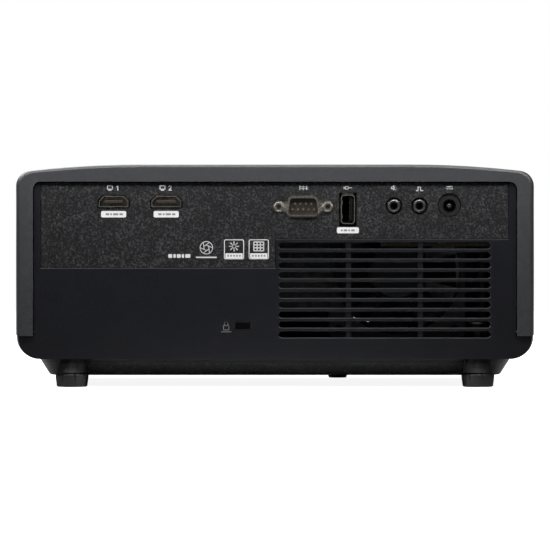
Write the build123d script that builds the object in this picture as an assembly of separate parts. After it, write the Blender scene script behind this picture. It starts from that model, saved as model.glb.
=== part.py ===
from build123d import *
from math import cos, radians, sin
import os

# A home projector.  Millimetres, +Z up, origin on the table under the middle of the body.
# The connector side faces -Y and the lens looks along +Y.

# Body
body_width = 274.0
body_depth = 216.0
rear_y = -body_depth / 2
front_y = body_depth / 2
side_bow = 6.0              # how far each side pulls in at the front and rear ends
crown_rise = 2.4            # rise of the top from its ends to its middle
cover_edge_z = 113.3        # top of the cover at its rear edge
case_floor_z = 14.0
top_corner_r = 8.0
case_corner_r = 11.0
shoulder_angle = 6.5        # slope of the top where it meets the corner
flat_half = 70.0            # half width of the flat middle of the top
wall = 2.5
seam_z = 26.0
seam_gap = 0.3
case_step = 0.4             # the case stands back from the cover by this much
cover_front_y = 94.0
front_bow = 3.0
bezel_wall = 3.0
edge_round = 1.2

# Rear wall
rim_depth = 3.0
rim_inside_x = 123.4
rim_inside_z = 104.9
rim_corner_r = 4.0
panel_gap = 0.5
panel_y = rear_y + 2.0      # outer face of the rear wall
panel_back_y = panel_y + wall
plate_floor_y = panel_y + 1.3
plate_face_y = panel_y + 0.3

# Rear grille
slot_count = 10
slot_height = 3.2
slot_pitch = 5.04
slot_left = 2.0
slot_right = 109.9
slot_first_z = 27.0
slot_chamfer = 0.45
slot_ribs_x = (37.5, 74.2)
lock_slot = (-16.5, 31.4, 7.6, 3.5)          # x, z, width, height

# Connectors, by their centres on the rear panel
video_x = (-82.3, -55.5)
video_z = 94.8
serial_x, serial_z = 14.4, 92.2
jack_screw_offset = 12.495
power_out_x, power_out_z = 37.2, 90.8
jack_x = (60.7, 73.7)
jack_z = 92.6
inlet_x, inlet_z = 89.0, 92.7
connector_lip = 0.8         # clearance between a connector and its cut-out
shell_tip_y = -105.9        # the metal shells end just inside the wall's outer face
shell_wall = 0.4
power_out_size = (7.1, 14.8)

# Belly and feet
belly_top = (249.0, -84.5, 70.5, 18.0)      # width, rear y, front y, z
belly_bottom = (234.0, -80.0, 66.0, 5.5)
belly_corner_r = 14.0
foot_travel = 8.0
foot_places = {"rear_left": (-104.0, -96.0), "rear_right": (104.0, -96.0), "front": (35.0, 82.0)}
foot_radius = {"rear_left": 8.65, "rear_right": 8.65, "front": 6.0}
stud_r = 3.0
stud_fit = 0.05
boss_bottom_z = 7.3
tower_top_z = 24.0
clip_bottom_z = tower_top_z + foot_travel + 0.3
clip_thickness = 0.8

# Inside
post_places = [(x, y) for x in (-108.0, 108.0) for y in (-66.0, 60.0)]
insert_places = [(x, y) for x in (-82.0, 82.0) for y in (-50.0, 50.0)]
board_post_places = [(-94.0, -94.0), (94.0, -94.0), (-40.0, -46.0), (94.0, -46.0)]
insert_r = 3.0
insert_bore_r = 2.0
insert_length = 8.0
board_z = 99.2
board_thickness = 1.6
main_board_x = (-102.0, 102.0)
main_board_y = (-103.0, -40.0)
converter_x = (54.0, 112.0)
converter_y = (-101.0, -87.0)
converter_z = 72.0
speaker_x = (-128.0, -106.0)
speaker_y = (-28.0, 28.0)
speaker_z = (34.0, 84.0)

# Lens
lens_x, lens_z = 58.0, 64.0
barrel_r = 28.0
ring_r = 33.0
ring_fit = 0.1
collar_r = 42.0
collar_throat_r = 33.4
well_size = (48.0, 35.0)
well_y = 70.0

# Fans
intake_center = (63.0, -71.5, 59.5)
intake_size = 70.0
exhaust_center = (-62.0, 76.5, 62.0)
exhaust_size = 80.0
fan_depth = 25.0

# Light engine
engine_x = (-28.0, 78.0)
engine_y = (-52.0, 45.0)
engine_z = (40.0, 90.0)
engine_wall = 3.0
beam_z = 64.0
laser_x = (-56.0, -28.0)
laser_y = 14.0
laser_size = (28.0, 32.0)   # width along Y and height
cold_plate_x = (-66.0, -56.0)
fin_pitch = 3.0
fin_thickness = 0.6
phosphor_x, phosphor_y = 12.0, -3.0
phosphor_r = 20.0
filter_x, filter_y, filter_z = -6.0, -18.0, 73.0
filter_r = 12.0
pipe_r = 3.0
pipe_heights = {50.0: -1, 58.0: 1, 70.0: -1, 78.0: 1}
pipe_x, pipe_y = -61.0, 56.0
pipe_bend_r = 10.0

prism_half = 13.0
imager_y = (-20.0, 20.0)
imager_z = (44.0, 84.0)
imager_board_x = (78.3, 79.9)
shift_y = 16.75             # middle of the tilting glass plate
engine_lens_places = [      # x, y, radius, turn about Y, turn about X
    (-20, 14, 10, 90, 0), (6.5, 14, 7.5, 90, 0), (-6, -8, 8, 0, 90),
    (14, -40, 8, 90, 0), (36, -40, 8, 90, 0), (58, -24, 9, 0, 90),
]

# Front
grille_window = (104.0, 72.0)
grille_x, grille_z = -62.0, 62.0
front_window_x = 3.0

# Keypad
keypad_x, keypad_y = -78.0, -40.0
keypad_size = (64.0, 44.0)
keypad_top_z = 113.5
keypad_thickness = 2.0
key_top_z = 114.2
key_gap = 0.3
key_travel = 0.8
nav_x, nav_y = -66.0, -40.0
nav_r = 15.0
enter_r = 7.2
power_key_x, power_key_y = -98.0, -48.0
power_key_r = 5.0
arrow_angles = {"right_key": 0, "up_key": 90, "left_key": 180, "down_key": 270}
keypad_board_z = (105.3, 106.9)
switch_top_z = 107.8
key_stem_z = switch_top_z + key_travel + 0.1
key_flange_z = (110.0, 111.1)


def block(x0, x1, y0, y1, z0, z1):
    """A box from its lowest corner to its highest."""
    size = Box(x1 - x0, y1 - y0, z1 - z0)
    return Pos((x0 + x1) / 2, (y0 + y1) / 2, (z0 + z1) / 2) * size


def rod(radius, x, y, z0, z1):
    """An upright cylinder."""
    return Pos(x, y, (z0 + z1) / 2) * Cylinder(radius, z1 - z0)


def rod_y(radius, x, z, y0, y1):
    """A cylinder along Y."""
    return Pos(x, (y0 + y1) / 2, z) * Rot(90, 0, 0) * Cylinder(radius, y1 - y0)


def rod_x(radius, y, z, x0, x1):
    """A cylinder along X."""
    return Pos((x0 + x1) / 2, y, z) * Rot(0, 90, 0) * Cylinder(radius, x1 - x0)


def cone_z(bottom_r, top_r, x, y, z0, z1):
    """An upright cone."""
    return Pos(x, y, (z0 + z1) / 2) * Cone(bottom_r, top_r, z1 - z0)


def rear_plane(x, y, z):
    """A drawing plane that is seen from behind: X to the right, Z up."""
    return Plane(origin=(x, y, z), x_dir=(1, 0, 0), z_dir=(0, -1, 0))


def push(sketch, x, z, y0, y1):
    """A rear-view outline, centred at x and z, made solid from y0 to y1."""
    return extrude(rear_plane(x, y1, z) * sketch, amount=y1 - y0)


def group(shapes):
    """Separate solids in one node."""
    return Compound(children=list(shapes))


# Shell

def body_section(y, inset):
    """The body's outline across X at one depth, drawn inset from the outer surface."""
    bow = (y / front_y) ** 2
    half = body_width / 2 - side_bow * bow - inset
    top = cover_edge_z + crown_rise * (1 - bow) - inset
    low = case_floor_z + inset
    corner = top_corner_r - inset
    lower = case_corner_r - inset
    slope = radians(shoulder_angle)
    corner_x = half - corner
    shoulder = (corner_x + corner * sin(slope) - flat_half) / sin(slope)
    corner_z = top - shoulder * (1 - cos(slope)) - corner * cos(slope)
    right = [
        CenterArc((half - lower, low + lower), lower, -90, 90),
        Line((half, low + lower), (half, corner_z)),
        CenterArc((corner_x, corner_z), corner, 0, 90 - shoulder_angle),
        CenterArc((flat_half, top - shoulder), shoulder, 90 - shoulder_angle, shoulder_angle),
    ]
    left = [mirror(edge, about=Plane.YZ) for edge in right]
    ends = [
        Line((lower - half, low), (half - lower, low)),
        Line((-flat_half, top), (flat_half, top)),
    ]
    return rear_plane(0, y, 0) * make_face(right + left + ends)


def body(inset, y0, y1):
    """The body's outer form, or an inset copy of it, from y0 to y1."""
    stations = [y0 + (y1 - y0) * step / 4 for step in range(5)]
    return loft([body_section(y, inset) for y in stations])


def above(z, y0, y1):
    """Everything over a level, between two depths."""
    return block(-body_width, body_width, y0, y1, z, 2 * cover_edge_z)


def below(z, y0, y1):
    """Everything under a level, between two depths."""
    return block(-body_width, body_width, y0, y1, -body_width, z)


def rear_opening(gap):
    """Outline of the opening inside the cover's rim, drawn about z = seam_z."""
    width = 2 * (rim_inside_x - gap)
    height = 2 * (rim_inside_z - gap - seam_z)
    return RectangleRounded(width, height, rim_corner_r - gap)


def side_vents():
    """Level slots through both side walls."""
    slots = []
    for side in (-1, 1):
        for level in range(9):
            slot = SlotOverall(62, 2.6)
            plane = Plane(origin=(side * 120, 0, 40 + 6 * level), x_dir=(0, 1, 0), z_dir=(side, 0, 0))
            slots.append(extrude(plane * slot, amount=25))
    return slots


def top_cover():
    shell = body(0, rear_y, front_y)
    rear_edges = shell.faces().sort_by(Axis.Y)[0].edges()
    shell = fillet(rear_edges, edge_round)
    shell &= above(seam_z + seam_gap / 2, rear_y - 1, cover_front_y)
    shell -= body(wall, rear_y + rim_depth, front_y)
    shell -= push(rear_opening(0), 0, seam_z, rear_y - 1, rear_y + rim_depth + 1)
    keypad_recess = RectangleRounded(keypad_size[0] + 0.4, keypad_size[1] + 0.4, 4)
    shell -= push_down(keypad_recess, keypad_x, keypad_y)
    shell -= push_down(RectangleRounded(*well_size, 5), lens_x, well_y)
    for slot in side_vents():
        shell -= slot
    for x, y in post_places:
        shell += post(3.5, x, y, tower_top_z + 0.2)
    for x, y in board_post_places:
        shell += post(3.0, x, y, board_z + board_thickness)
    for x, y in post_places:
        shell -= rod(1.25, x, y, tower_top_z - 1, 40)
    return shell


def push_down(sketch, x, y):
    """An outline seen from above, cut down through the cover's top."""
    return extrude(Plane(origin=(x, y, 104)) * sketch, amount=30)


def post(radius, x, y, z0):
    """A pillar that hangs from the cover's top."""
    return rod(radius, x, y, z0, 2 * cover_edge_z) & body(wall / 2, rear_y, front_y)


def belly_block(inset):
    """The deep middle of the case, which tapers downwards."""
    faces = []
    for width, y0, y1, z in (belly_top, belly_bottom):
        outline = RectangleRounded(width - 2 * inset, y1 - y0 - 2 * inset, belly_corner_r - inset)
        faces.append(Plane(origin=(0, (y0 + y1) / 2, z)) * outline)
    return loft(faces)


def rear_slots():
    """The grille's slots, each a little wider at the outer face."""
    length = slot_right - slot_left
    middle = (slot_left + slot_right) / 2
    slots = []
    for level in range(slot_count):
        z = slot_first_z + slot_pitch * level
        slots.append(push(SlotOverall(length, slot_height), middle, z, panel_y - 1, panel_back_y + 1))
        flare = rear_plane(middle, panel_y + slot_chamfer, z) * SlotOverall(length, slot_height)
        slots.append(extrude(flare, amount=slot_chamfer + 0.5, taper=-45))
    return slots


def plate_outline(gap):
    """The stepped connector plate: deeper on the left half than over the grille."""
    left, right = -119.2 + gap, 118.9 - gap
    top, low, high = rim_inside_z - panel_gap - gap, 61.1 + gap, 75.8 + gap
    corners = [(left, low), (-gap, low), (-gap, high), (right, high), (right, top), (left, top)]
    return make_face(Polyline(*corners, close=True))


def foot_boss(x, y, radius):
    """A round boss under the case with a tower inside for the foot's thread."""
    tip = radius * 7.9 / 8.65
    outside = cone_z(tip, tip - 1.25, x, y, boss_bottom_z, case_floor_z + 1)
    return outside + rod(6.0, x, y, case_floor_z, tower_top_z)


def bottom_case():
    tray = body(case_step, panel_y, cover_front_y) & below(seam_z - seam_gap / 2, panel_y - 1, front_y)
    rear_wall = push(rear_opening(panel_gap), 0, seam_z, panel_y, panel_back_y)
    rear_wall &= above(seam_z - 5, panel_y, 0)
    hollow = body(case_step + wall, panel_back_y, cover_front_y + 1)
    hollow &= below(seam_z + 1, panel_back_y, front_y)
    belly = fillet(belly_block(0).faces().sort_by(Axis.Z)[0].edges(), 2.5)
    belly_hollow = belly_block(wall) - below(belly_bottom[3] + wall, rear_y, front_y)
    case = tray + belly - hollow - belly_hollow
    case += rear_wall
    case -= push(plate_outline(-0.15), 0, 0, panel_y - 1, plate_floor_y)
    recess_edge = rear_plane(0, panel_y + slot_chamfer, 0) * plate_outline(-0.15)
    case -= extrude(recess_edge, amount=1, taper=-45)
    for cutter in rear_slots():
        case -= cutter
    case -= connector_cuts(0.3)
    lock_x, lock_z, width, height = lock_slot
    case += push(Rectangle(width + 4, height + 4), lock_x, lock_z, panel_back_y - 1, panel_back_y + 4)
    case -= push(RectangleRounded(width, height, 0.5), lock_x, lock_z, panel_y - 1, panel_back_y + 2.5)
    rib_top = slot_first_z + slot_pitch * (slot_count - 1) + 1.6
    for x in slot_ribs_x:
        case += block(x - 1.25, x + 1.25, panel_y + 1, panel_back_y, slot_first_z - 3, rib_top)
    for name, (x, y) in foot_places.items():
        case += foot_boss(x, y, foot_radius[name])
        case -= rod(stud_r + stud_fit, x, y, 0, tower_top_z + 1)
    for x, y in insert_places:
        case += rod(insert_r + 2, x, y, belly_bottom[3] + 1, belly_bottom[3] + insert_length + 4)
        case -= rod(insert_r, x, y, 0, belly_bottom[3] + insert_length)
    for x, y in post_places:
        case += rod(4.0, x, y, belly_bottom[3] + 1, tower_top_z)
        case -= rod(1.6, x, y, 0, tower_top_z + 1)
        case -= rod(3.2, x, y, 0, belly_bottom[3] + 2)
    for x, y, low, high in cradle_places():
        case += block(x - 1.5, x + 1.5, y - 8, y + 8, low, high)
    return case


def cradle_places():
    """Ribs under the two fans and the loudspeaker: x, y, foot and top."""
    belly_floor = belly_bottom[3] + 1
    places = [(x, -68, belly_floor, intake_center[2] - intake_size / 2) for x in (45.5, 80.5)]
    places += [(x, 78, case_floor_z + 1.5, exhaust_center[2] - exhaust_size / 2) for x in (-82, -42)]
    places += [(-117, y, belly_floor + 4, speaker_z[0]) for y in (-15, 15)]
    return places


def io_plate():
    plate = push(plate_outline(0), 0, 0, plate_face_y, plate_floor_y)
    return plate - connector_cuts(0)


# Connectors

def video_outline():
    """Chamfered upper corners, wide lower edge."""
    points = [(-7.5, -2.8), (7.5, -2.8), (7.5, 0.3), (4.95, 2.8), (-4.95, 2.8), (-7.5, 0.3)]
    return make_face(Polyline(*points, close=True))


def serial_outline():
    """A D shape, wider along its lower row of five pins."""
    points = [(-8.45, -4.8), (8.45, -4.8), (7.0, 4.8), (-7.0, 4.8)]
    face = make_face(Polyline(*points, close=True))
    return fillet(face.vertices(), 2.3)


def serial_cut(extra):
    """The panel's opening: the shell, both screws and the flange between them."""
    opening = offset(serial_outline(), amount=connector_lip + extra)
    for side in (-1, 1):
        opening += Pos(side * jack_screw_offset, 0) * Circle(3.1 + extra)
        opening += Pos(side * (jack_screw_offset - 2.5), 0) * Rectangle(5, 5.6 + 2 * extra)
    return opening


def connector_cuts(extra):
    """Openings for every connector, through the plate and the rear wall."""
    outlines = [(offset(video_outline(), amount=connector_lip + extra), x, video_z) for x in video_x]
    outlines += [(serial_cut(extra), serial_x, serial_z)]
    width, height = power_out_size
    power_cut = RectangleRounded(width + 1.8 + 2 * extra, height + 2.6 + 2 * extra, 0.6)
    outlines += [(power_cut, power_out_x, power_out_z)]
    outlines += [(Circle(4.4 + extra), x, jack_z) for x in jack_x]
    outlines += [(Circle(6.0 + extra), inlet_x, inlet_z + 0.3)]
    return group([push(face, x, z, panel_y - 1, panel_back_y + 1) for face, x, z in outlines])


def video_socket(x):
    shell = push(video_outline(), x, video_z, shell_tip_y, -95)
    shell -= push(offset(video_outline(), amount=-shell_wall), x, video_z, shell_tip_y - 1, -96)
    tongue = block(x - 5, x + 5, -104.9, -95, video_z - 0.6, video_z + 0.5)
    return shell + tongue + block(x - 7.5, x + 7.5, -98, -90, video_z - 2.8, board_z)


def serial_connector():
    tip_y, flange_y = -107.6, -102.7
    flange = push(RectangleRounded(30.8, 12.5, 1.5), serial_x, serial_z, panel_back_y, flange_y)
    shell = push(serial_outline(), serial_x, serial_z, tip_y, panel_back_y)
    shell -= push(offset(serial_outline(), amount=-0.5), serial_x, serial_z, tip_y - 1, -104.2)
    body_block = block(serial_x - 8, serial_x + 8, flange_y, -92, serial_z - 4.8, board_z)
    pins = []
    for count, z in ((4, 1.42), (5, -1.42)):
        for step in range(count):
            x = serial_x + 2.77 * (step - (count - 1) / 2)
            pins.append(rod_y(0.5, x, serial_z + z, tip_y + 0.6, -104))
    for side in (-1, 1):
        flange -= rod_y(1.6, serial_x + side * jack_screw_offset, serial_z, -104, -102)
    return shell + flange + body_block + pins


def jack_screw(x):
    """A hexagon pillar with a threaded mouth, and its shank through the flange."""
    head = push(RegularPolygon(2.7, 6), x, serial_z, -107.6, panel_back_y)
    head = chamfer(head.faces().sort_by(Axis.Y)[0].edges(), 0.3)
    return head + rod_y(1.5, x, serial_z, panel_back_y, -98) - rod_y(1.2, x, serial_z, -108, -102.5)


def power_out_socket():
    outline = chamfer(Rectangle(*power_out_size).vertices(), 1.1)
    shell = push(outline, power_out_x, power_out_z, shell_tip_y, -92)
    shell -= push(offset(outline, amount=-shell_wall), power_out_x, power_out_z, shell_tip_y - 1, -93)
    tongue_z = (power_out_z - 5.9, power_out_z + 5.9)
    tongue = block(power_out_x + 0.7, power_out_x + 2.5, -104.8, -92, *tongue_z)
    neck = block(power_out_x - 3, power_out_x + 3, -100, -92, power_out_z + 6, board_z)
    neck -= push(offset(outline, amount=-0.2), power_out_x, power_out_z, -101, -93)
    return shell + tongue + neck


def audio_jack(x):
    barrel = rod_y(3.4, x, jack_z, shell_tip_y, -103)
    barrel = chamfer(barrel.edges().sort_by(Axis.Y)[0], 0.4)
    housing = block(x - 4.5, x + 4.5, -103, -91, jack_z - 4.5, board_z)
    return barrel + housing - rod_y(1.8, x, jack_z, -107, -93)


def dc_inlet():
    collar = rod_y(5.7, inlet_x, inlet_z + 0.3, -104.6, -100)
    collar += block(inlet_x - 5.5, inlet_x + 5.5, -102, -90, inlet_z - 5.5, board_z)
    collar -= rod_y(3.5, inlet_x, inlet_z, -105, -92)
    return collar + rod_y(1.25, inlet_x, inlet_z, -103.4, -91)


# Feet

def foot(name):
    """A notched knob with its moulded-in stud, which turns in the case's boss."""
    x, y = foot_places[name]
    radius = foot_radius[name]
    knob = cone_z(radius - 0.9, radius, x, y, 0, 6.7)
    knob = fillet(knob.edges().filter_by(GeomType.CIRCLE), 0.9)
    for step in range(8):
        angle = radians(45 * step + 12)
        notch_x = x + (radius + 0.2) * cos(angle)
        notch_y = y + (radius + 0.2) * sin(angle)
        knob -= rod(0.8, notch_x, notch_y, 1.6, 7)
    stud = rod(stud_r, x, y, 6, clip_bottom_z + 1.7)
    groove = rod(stud_r + 1, x, y, clip_bottom_z - 0.1, clip_bottom_z + clip_thickness + 0.1)
    groove -= rod(2.2, x, y, 0, 50)
    return knob + (stud - groove)


def foot_clip(name):
    """An open spring clip in the stud's groove, which stops the foot from coming out."""
    x, y = foot_places[name]
    top = clip_bottom_z + clip_thickness
    ring = rod(4.6, x, y, clip_bottom_z, top) - rod(2.25, x, y, 0, 50)
    return ring - block(x - 1.8, x + 1.8, y, y + 6, 0, 50)


def case_screw(x, y):
    """A pan-head screw from under the belly up into the cover's post."""
    head_z = belly_bottom[3] + 0.2
    head = rod(2.8, x, y, head_z, head_z + 1.8) - rod(1.0, x, y, head_z - 1, head_z + 1)
    return head + rod(1.2, x, y, head_z + 1, 38)


def ceiling_insert(x, y):
    low, high = belly_bottom[3], belly_bottom[3] + insert_length
    return rod(insert_r, x, y, low, high) - rod(insert_bore_r, x, y, low - 1, high + 1)


# Boards and loudspeaker

def finned_sink(x, y, z, size, height):
    """A small heat sink with upright fins along Y."""
    sink = block(x - size / 2, x + size / 2, y - size / 2, y + size / 2, z, z + 1.5)
    for step in range(8):
        fin_x = x - size / 2 + (size - 1) * step / 7
        sink += block(fin_x, fin_x + 1, y - size / 2, y + size / 2, z, z + height)
    return sink


def main_board():
    return block(*main_board_x, *main_board_y, board_z, board_z + board_thickness)


def main_board_parts():
    """The processor's and memory's packages under their heat sinks, and some capacitors."""
    top = board_z + board_thickness
    parts = []
    for x, y, size in ((-20, -68, 30), (26, -70, 26), (66, -66, 22)):
        package = block(x - size / 3, x + size / 3, y - size / 3, y + size / 3, top, top + 1.5)
        parts.append(package + finned_sink(x, y, top + 1.5, size, 5.5))
    for x in range(-90, -44, 9):
        parts.append(rod(3.0, x, -84, top, top + 6))
    return group(parts)


def converter_board():
    """The DC converter, seen edge-on behind the grille's upper slots."""
    top = converter_z + board_thickness
    board = block(*converter_x, *converter_y, converter_z, top)
    for x in (60, 74, 88):
        board += block(x, x + 9, -98, -90, top, top + 6)
    for x in (102, 108):
        board += rod(2.5, x, -94, top, top + 9)
    return board


def speaker():
    """A closed box whose driver faces the side vents."""
    box = fillet(block(*speaker_x, *speaker_y, *speaker_z).edges().filter_by(Axis.X), 4)
    middle = (speaker_z[0] + speaker_z[1]) / 2
    box -= Pos(speaker_x[0] + 4, 0, middle) * Rot(0, 90, 0) * Cone(22, 9, 8)
    return box + Pos(speaker_x[0] + 3.5, 0, middle) * Rot(0, 90, 0) * Cylinder(8, 9)


# Fans

def fan_frame(center, size):
    """A square axial fan's frame: two flanges, a duct and a hub bracket at the inner end."""
    x, y, z = center
    outer, inner = y - fan_depth / 2, y + fan_depth / 2
    frame = rod_y(size / 2 - 0.2, x, z, outer, inner)
    for y0 in (outer, inner - 3.5):
        frame += push(RectangleRounded(size, size, 3.5), x, z, y0, y0 + 3.5)
    frame -= rod_y(size / 2 - 2, x, z, outer - 1, inner + 1)
    bracket = rod_y(size * 0.2, x, z, inner - 4, inner)
    for turn in (45, 135, 225, 315):
        strut = Pos(size * 0.34, inner - 2, 0) * Box(size * 0.3, 4, 3)
        bracket += Pos(x, 0, z) * Rot(0, turn, 0) * strut
    frame += bracket - rod_y(1.55, x, z, inner - 5, inner + 1)
    holes = [(sx * (size / 2 - 5), sz * (size / 2 - 5)) for sx in (-1, 1) for sz in (-1, 1)]
    for dx, dz in holes:
        frame -= rod_y(2.2, x + dx, z + dz, outer - 1, inner + 1)
    return frame


def fan_blade(size):
    """One twisted blade, reaching out along X from the hub."""
    sections = []
    for reach, pitch, chord in ((size * 0.2, 50, size * 0.2), (size / 2 - 4.2, 30, size * 0.28)):
        across = (0, sin(radians(pitch)), cos(radians(pitch)))
        plane = Plane(origin=(reach, 0, 0), x_dir=across, z_dir=(1, 0, 0))
        sections.append(plane * Rectangle(chord, 1.2))
    return loft(sections)


def fan_rotor(center, size):
    x, y, z = center
    outer = y - fan_depth / 2
    hub = rod_y(size * 0.21, x, z, outer + 2, outer + 19)
    hub = fillet(hub.edges().sort_by(Axis.Y)[0], 2)
    blade = fan_blade(size)
    for step in range(7):
        hub += Pos(x, outer + 10.5, z) * Rot(0, 360 / 7 * step, 0) * blade
    return hub + rod_y(1.5, x, z, outer + 18, outer + fan_depth - 0.5)


# Light source

def laser_bank():
    """A block with four blind bolt wells round its window."""
    half_width, half_height = laser_size[0] / 2, laser_size[1] / 2
    side_y = (laser_y - half_width, laser_y + half_width)
    bank = block(*laser_x, *side_y, beam_z - half_height, beam_z + half_height)
    for dy in (-7, 7):
        for dz in (-8, 8):
            bank -= rod_x(3.5, laser_y + dy, beam_z + dz, laser_x[1] - 2, laser_x[1] + 8)
    return bank + rod_x(9, laser_y, beam_z, laser_x[1], laser_x[1] + engine_wall)


def cold_plate():
    """A copper block on the laser's back, bored for the heat pipes."""
    plate = block(*cold_plate_x, -8, 34, beam_z - 20, beam_z + 20)
    return plate - [rod_y(pipe_r + 0.05, pipe_x, z, -9, 35) for z in pipe_heights]


def heat_pipe(z, side):
    """From the cold plate forwards, round one bend and out through its stack of fins."""
    end_x = -101 if side < 0 else -25
    route = FilletPolyline((pipe_x, -6, z), (pipe_x, pipe_y, z), (end_x, pipe_y, z), radius=pipe_bend_r)
    start = Plane(origin=(pipe_x, -6, z), z_dir=(0, 1, 0))
    return sweep(start * Circle(pipe_r), path=route)


def radiator_fins():
    """Two stacks of thin plates, one for each pair of pipes."""
    fins = []
    for side, first_x, count in ((-1, -100, 9), (1, -48, 8)):
        for step in range(count):
            x = first_x + fin_pitch * step
            fin = block(x, x + fin_thickness, pipe_y - 7, pipe_y + 6, 28, 98)
            for z, pipe_side in pipe_heights.items():
                if pipe_side == side:
                    fin -= rod_x(pipe_r + 0.05, pipe_y, z, x - 1, x + 2)
            fins.append(fin)
    return group(fins)


def phosphor_wheel():
    disc = rod_x(phosphor_r, phosphor_y, beam_z, phosphor_x - 0.5, phosphor_x + 0.5)
    return disc + rod_x(1.5, phosphor_y, beam_z, phosphor_x, phosphor_x + 9)


def filter_wheel():
    disc = rod_y(filter_r, filter_x, filter_z, filter_y - 0.5, filter_y + 0.5)
    return disc + rod_y(1.5, filter_x, filter_z, filter_y - 8, filter_y)


def wheel_motors():
    """The phosphor wheel's motor on its foot, and the filter wheel's under the lid."""
    first = rod_x(9, phosphor_y, beam_z, phosphor_x + 1.5, phosphor_x + 12)
    first += block(phosphor_x + 3, phosphor_x + 10, phosphor_y - 4, phosphor_y + 4, 43, 58)
    first -= rod_x(1.55, phosphor_y, beam_z, phosphor_x + 1, phosphor_x + 10)
    second = rod_y(6.5, filter_x, filter_z, filter_y - 10, filter_y - 1.5)
    second += block(filter_x - 3, filter_x + 3, filter_y - 9, filter_y - 3, filter_z + 5, engine_z[1])
    second -= rod_y(1.55, filter_x, filter_z, filter_y - 9, filter_y - 1)
    return group([first, second])


# Light engine

def lens(radius, thickness):
    """A lens with two domed faces, its axis along Z."""
    rise = thickness * 0.4
    curve = (radius ** 2 + rise ** 2) / (2 * rise)
    shift = curve - thickness / 2
    domes = Pos(0, 0, shift) * Sphere(curve) & Pos(0, 0, -shift) * Sphere(curve)
    return domes & Cylinder(radius, thickness)


def engine_lenses():
    """Condenser and relay lenses along the folded beam."""
    pieces = []
    for x, y, radius, about_y, about_x in engine_lens_places:
        pieces.append(Pos(x, y, beam_z) * Rot(about_x, about_y, 0) * lens(radius, 4))
    return group(pieces)


def engine_mirrors():
    """The dichroic plate and the two fold mirrors, each at 45 degrees to the beam."""
    places = ((-6, 14, 45, 24, 22), (-6, -40, -45, 11, 14), (58, -40, 45, 20, 18))
    pieces = []
    for x, y, angle, length, height in places:
        pieces.append(Pos(x, y, beam_z) * Rot(0, 0, angle) * Box(length, 1.6, height))
    return group(pieces)


def integrator_rod():
    return block(filter_x - 2.5, filter_x + 2.5, -35, filter_y - 2, beam_z - 1.5, beam_z + 1.5)


def prism_pair():
    """A cube of two wedges with a thin air gap along the diagonal."""
    low, high, gap = -prism_half, prism_half, 0.4
    first = make_face(Polyline((low, low), (high - gap, low), (low, high - gap), close=True))
    second = make_face(Polyline((high, high), (high, low + gap), (low + gap, high), close=True))
    plane = Plane(origin=(lens_x, 0, beam_z - prism_half))
    return group([extrude(plane * wedge, amount=2 * prism_half) for wedge in (first, second)])


def imager_board():
    """The micromirror chip in its socket, seated in the housing's side window."""
    face_x = imager_board_x[0]
    board = block(*imager_board_x, *imager_y, *imager_z)
    socket = block(face_x - 2.3, face_x, -10, 10, beam_z - 9, beam_z + 9)
    chip = block(face_x - 5.8, face_x - 2.3, -8, 8, beam_z - 7, beam_z + 7)
    return board + socket + chip


def imager_heat_sink():
    base_x = imager_board_x[1]
    sink = block(base_x, base_x + 3.1, *imager_y, *imager_z)
    for step in range(9):
        y = imager_y[0] + (imager_y[1] - imager_y[0] - 1.2) * step / 8
        sink += block(base_x + 3.1, base_x + 18.1, y, y + 1.2, *imager_z)
    return sink


def shift_frame():
    frame = block(lens_x - 13, lens_x + 13, shift_y - 1.75, shift_y + 1.75, beam_z - 13, beam_z + 13)
    frame -= block(lens_x - 10, lens_x + 10, shift_y - 3, shift_y + 3, beam_z - 10, beam_z + 10)
    return frame - rod(0.65, lens_x, shift_y, beam_z - 12, beam_z + 12)


def shift_plate():
    """The glass plate that tilts a hair to shift the picture by half a pixel."""
    plate = block(lens_x - 9, lens_x + 9, shift_y - 0.6, shift_y + 0.6, beam_z - 9, beam_z + 9)
    plate += rod(0.6, lens_x, shift_y, beam_z - 11.5, beam_z - 8)
    return plate + rod(0.6, lens_x, shift_y, beam_z + 8, beam_z + 11.5)


def lid_screw_places():
    return [(x, y) for x in (-23, 25, 73) for y in (-47, 40)]


def flange_screw_places():
    return [(lens_x + 15.9 * sx, lens_z + 15.9 * sz) for sx in (-1, 1) for sz in (-1, 1)]


def engine_housing():
    x0, x1 = engine_x
    y0, y1 = engine_y
    z0, z1 = engine_z
    w = engine_wall
    housing = block(x0, x1, y0, y1, z0, z1)
    housing -= block(x0 + w, x1 - w, y0 + w, y1 - w, z0 + w, z1 + 1)
    for x, y in lid_screw_places():
        housing += rod(4, x, y, 82, z1)
        housing -= rod(1.25, x, y, 83, z1 + 1)
    for x in (-20, 66):
        for y in (-44, 37):
            housing += rod(4, x, y, belly_bottom[3] + wall, z0 + 1)
    for x, y, radius, about_y, about_x in engine_lens_places:
        along, across = (2, 4) if about_y else (4, 2)
        housing += block(x - along, x + along, y - across, y + across, z0 + w, beam_z - radius)
    housing += block(lens_x - 10, lens_x + 10, -10, 18, z0 + w, beam_z - 13)
    housing += block(filter_x - 2, filter_x + 2, -33, -24, z0 + w, beam_z - 1.5)
    housing += block(-10, -2, 10, 18, z0 + w, beam_z - 11)
    housing += block(-8, -4, -42, -38, z0 + w, beam_z - 7)
    housing += block(55, 61, -43, -37, z0 + w, beam_z - 9)
    housing -= rod_x(9.2, laser_y, beam_z, x0 - 1, x0 + w + 0.5)
    housing -= block(x1 - w - 0.5, x1 + 1, -11, 11, 54, 74)
    housing -= rod_y(16.2, lens_x, lens_z, y1 - w - 1, y1 + 1)
    for x, z in flange_screw_places():
        housing -= rod_y(1.25, x, z, y1 - 4, y1 + 1)
    return housing


def engine_lid():
    lid = block(*engine_x, *engine_y, engine_z[1], engine_z[1] + 3)
    for x, y in lid_screw_places():
        lid -= rod(1.6, x, y, 80, 100)
    return lid


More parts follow.
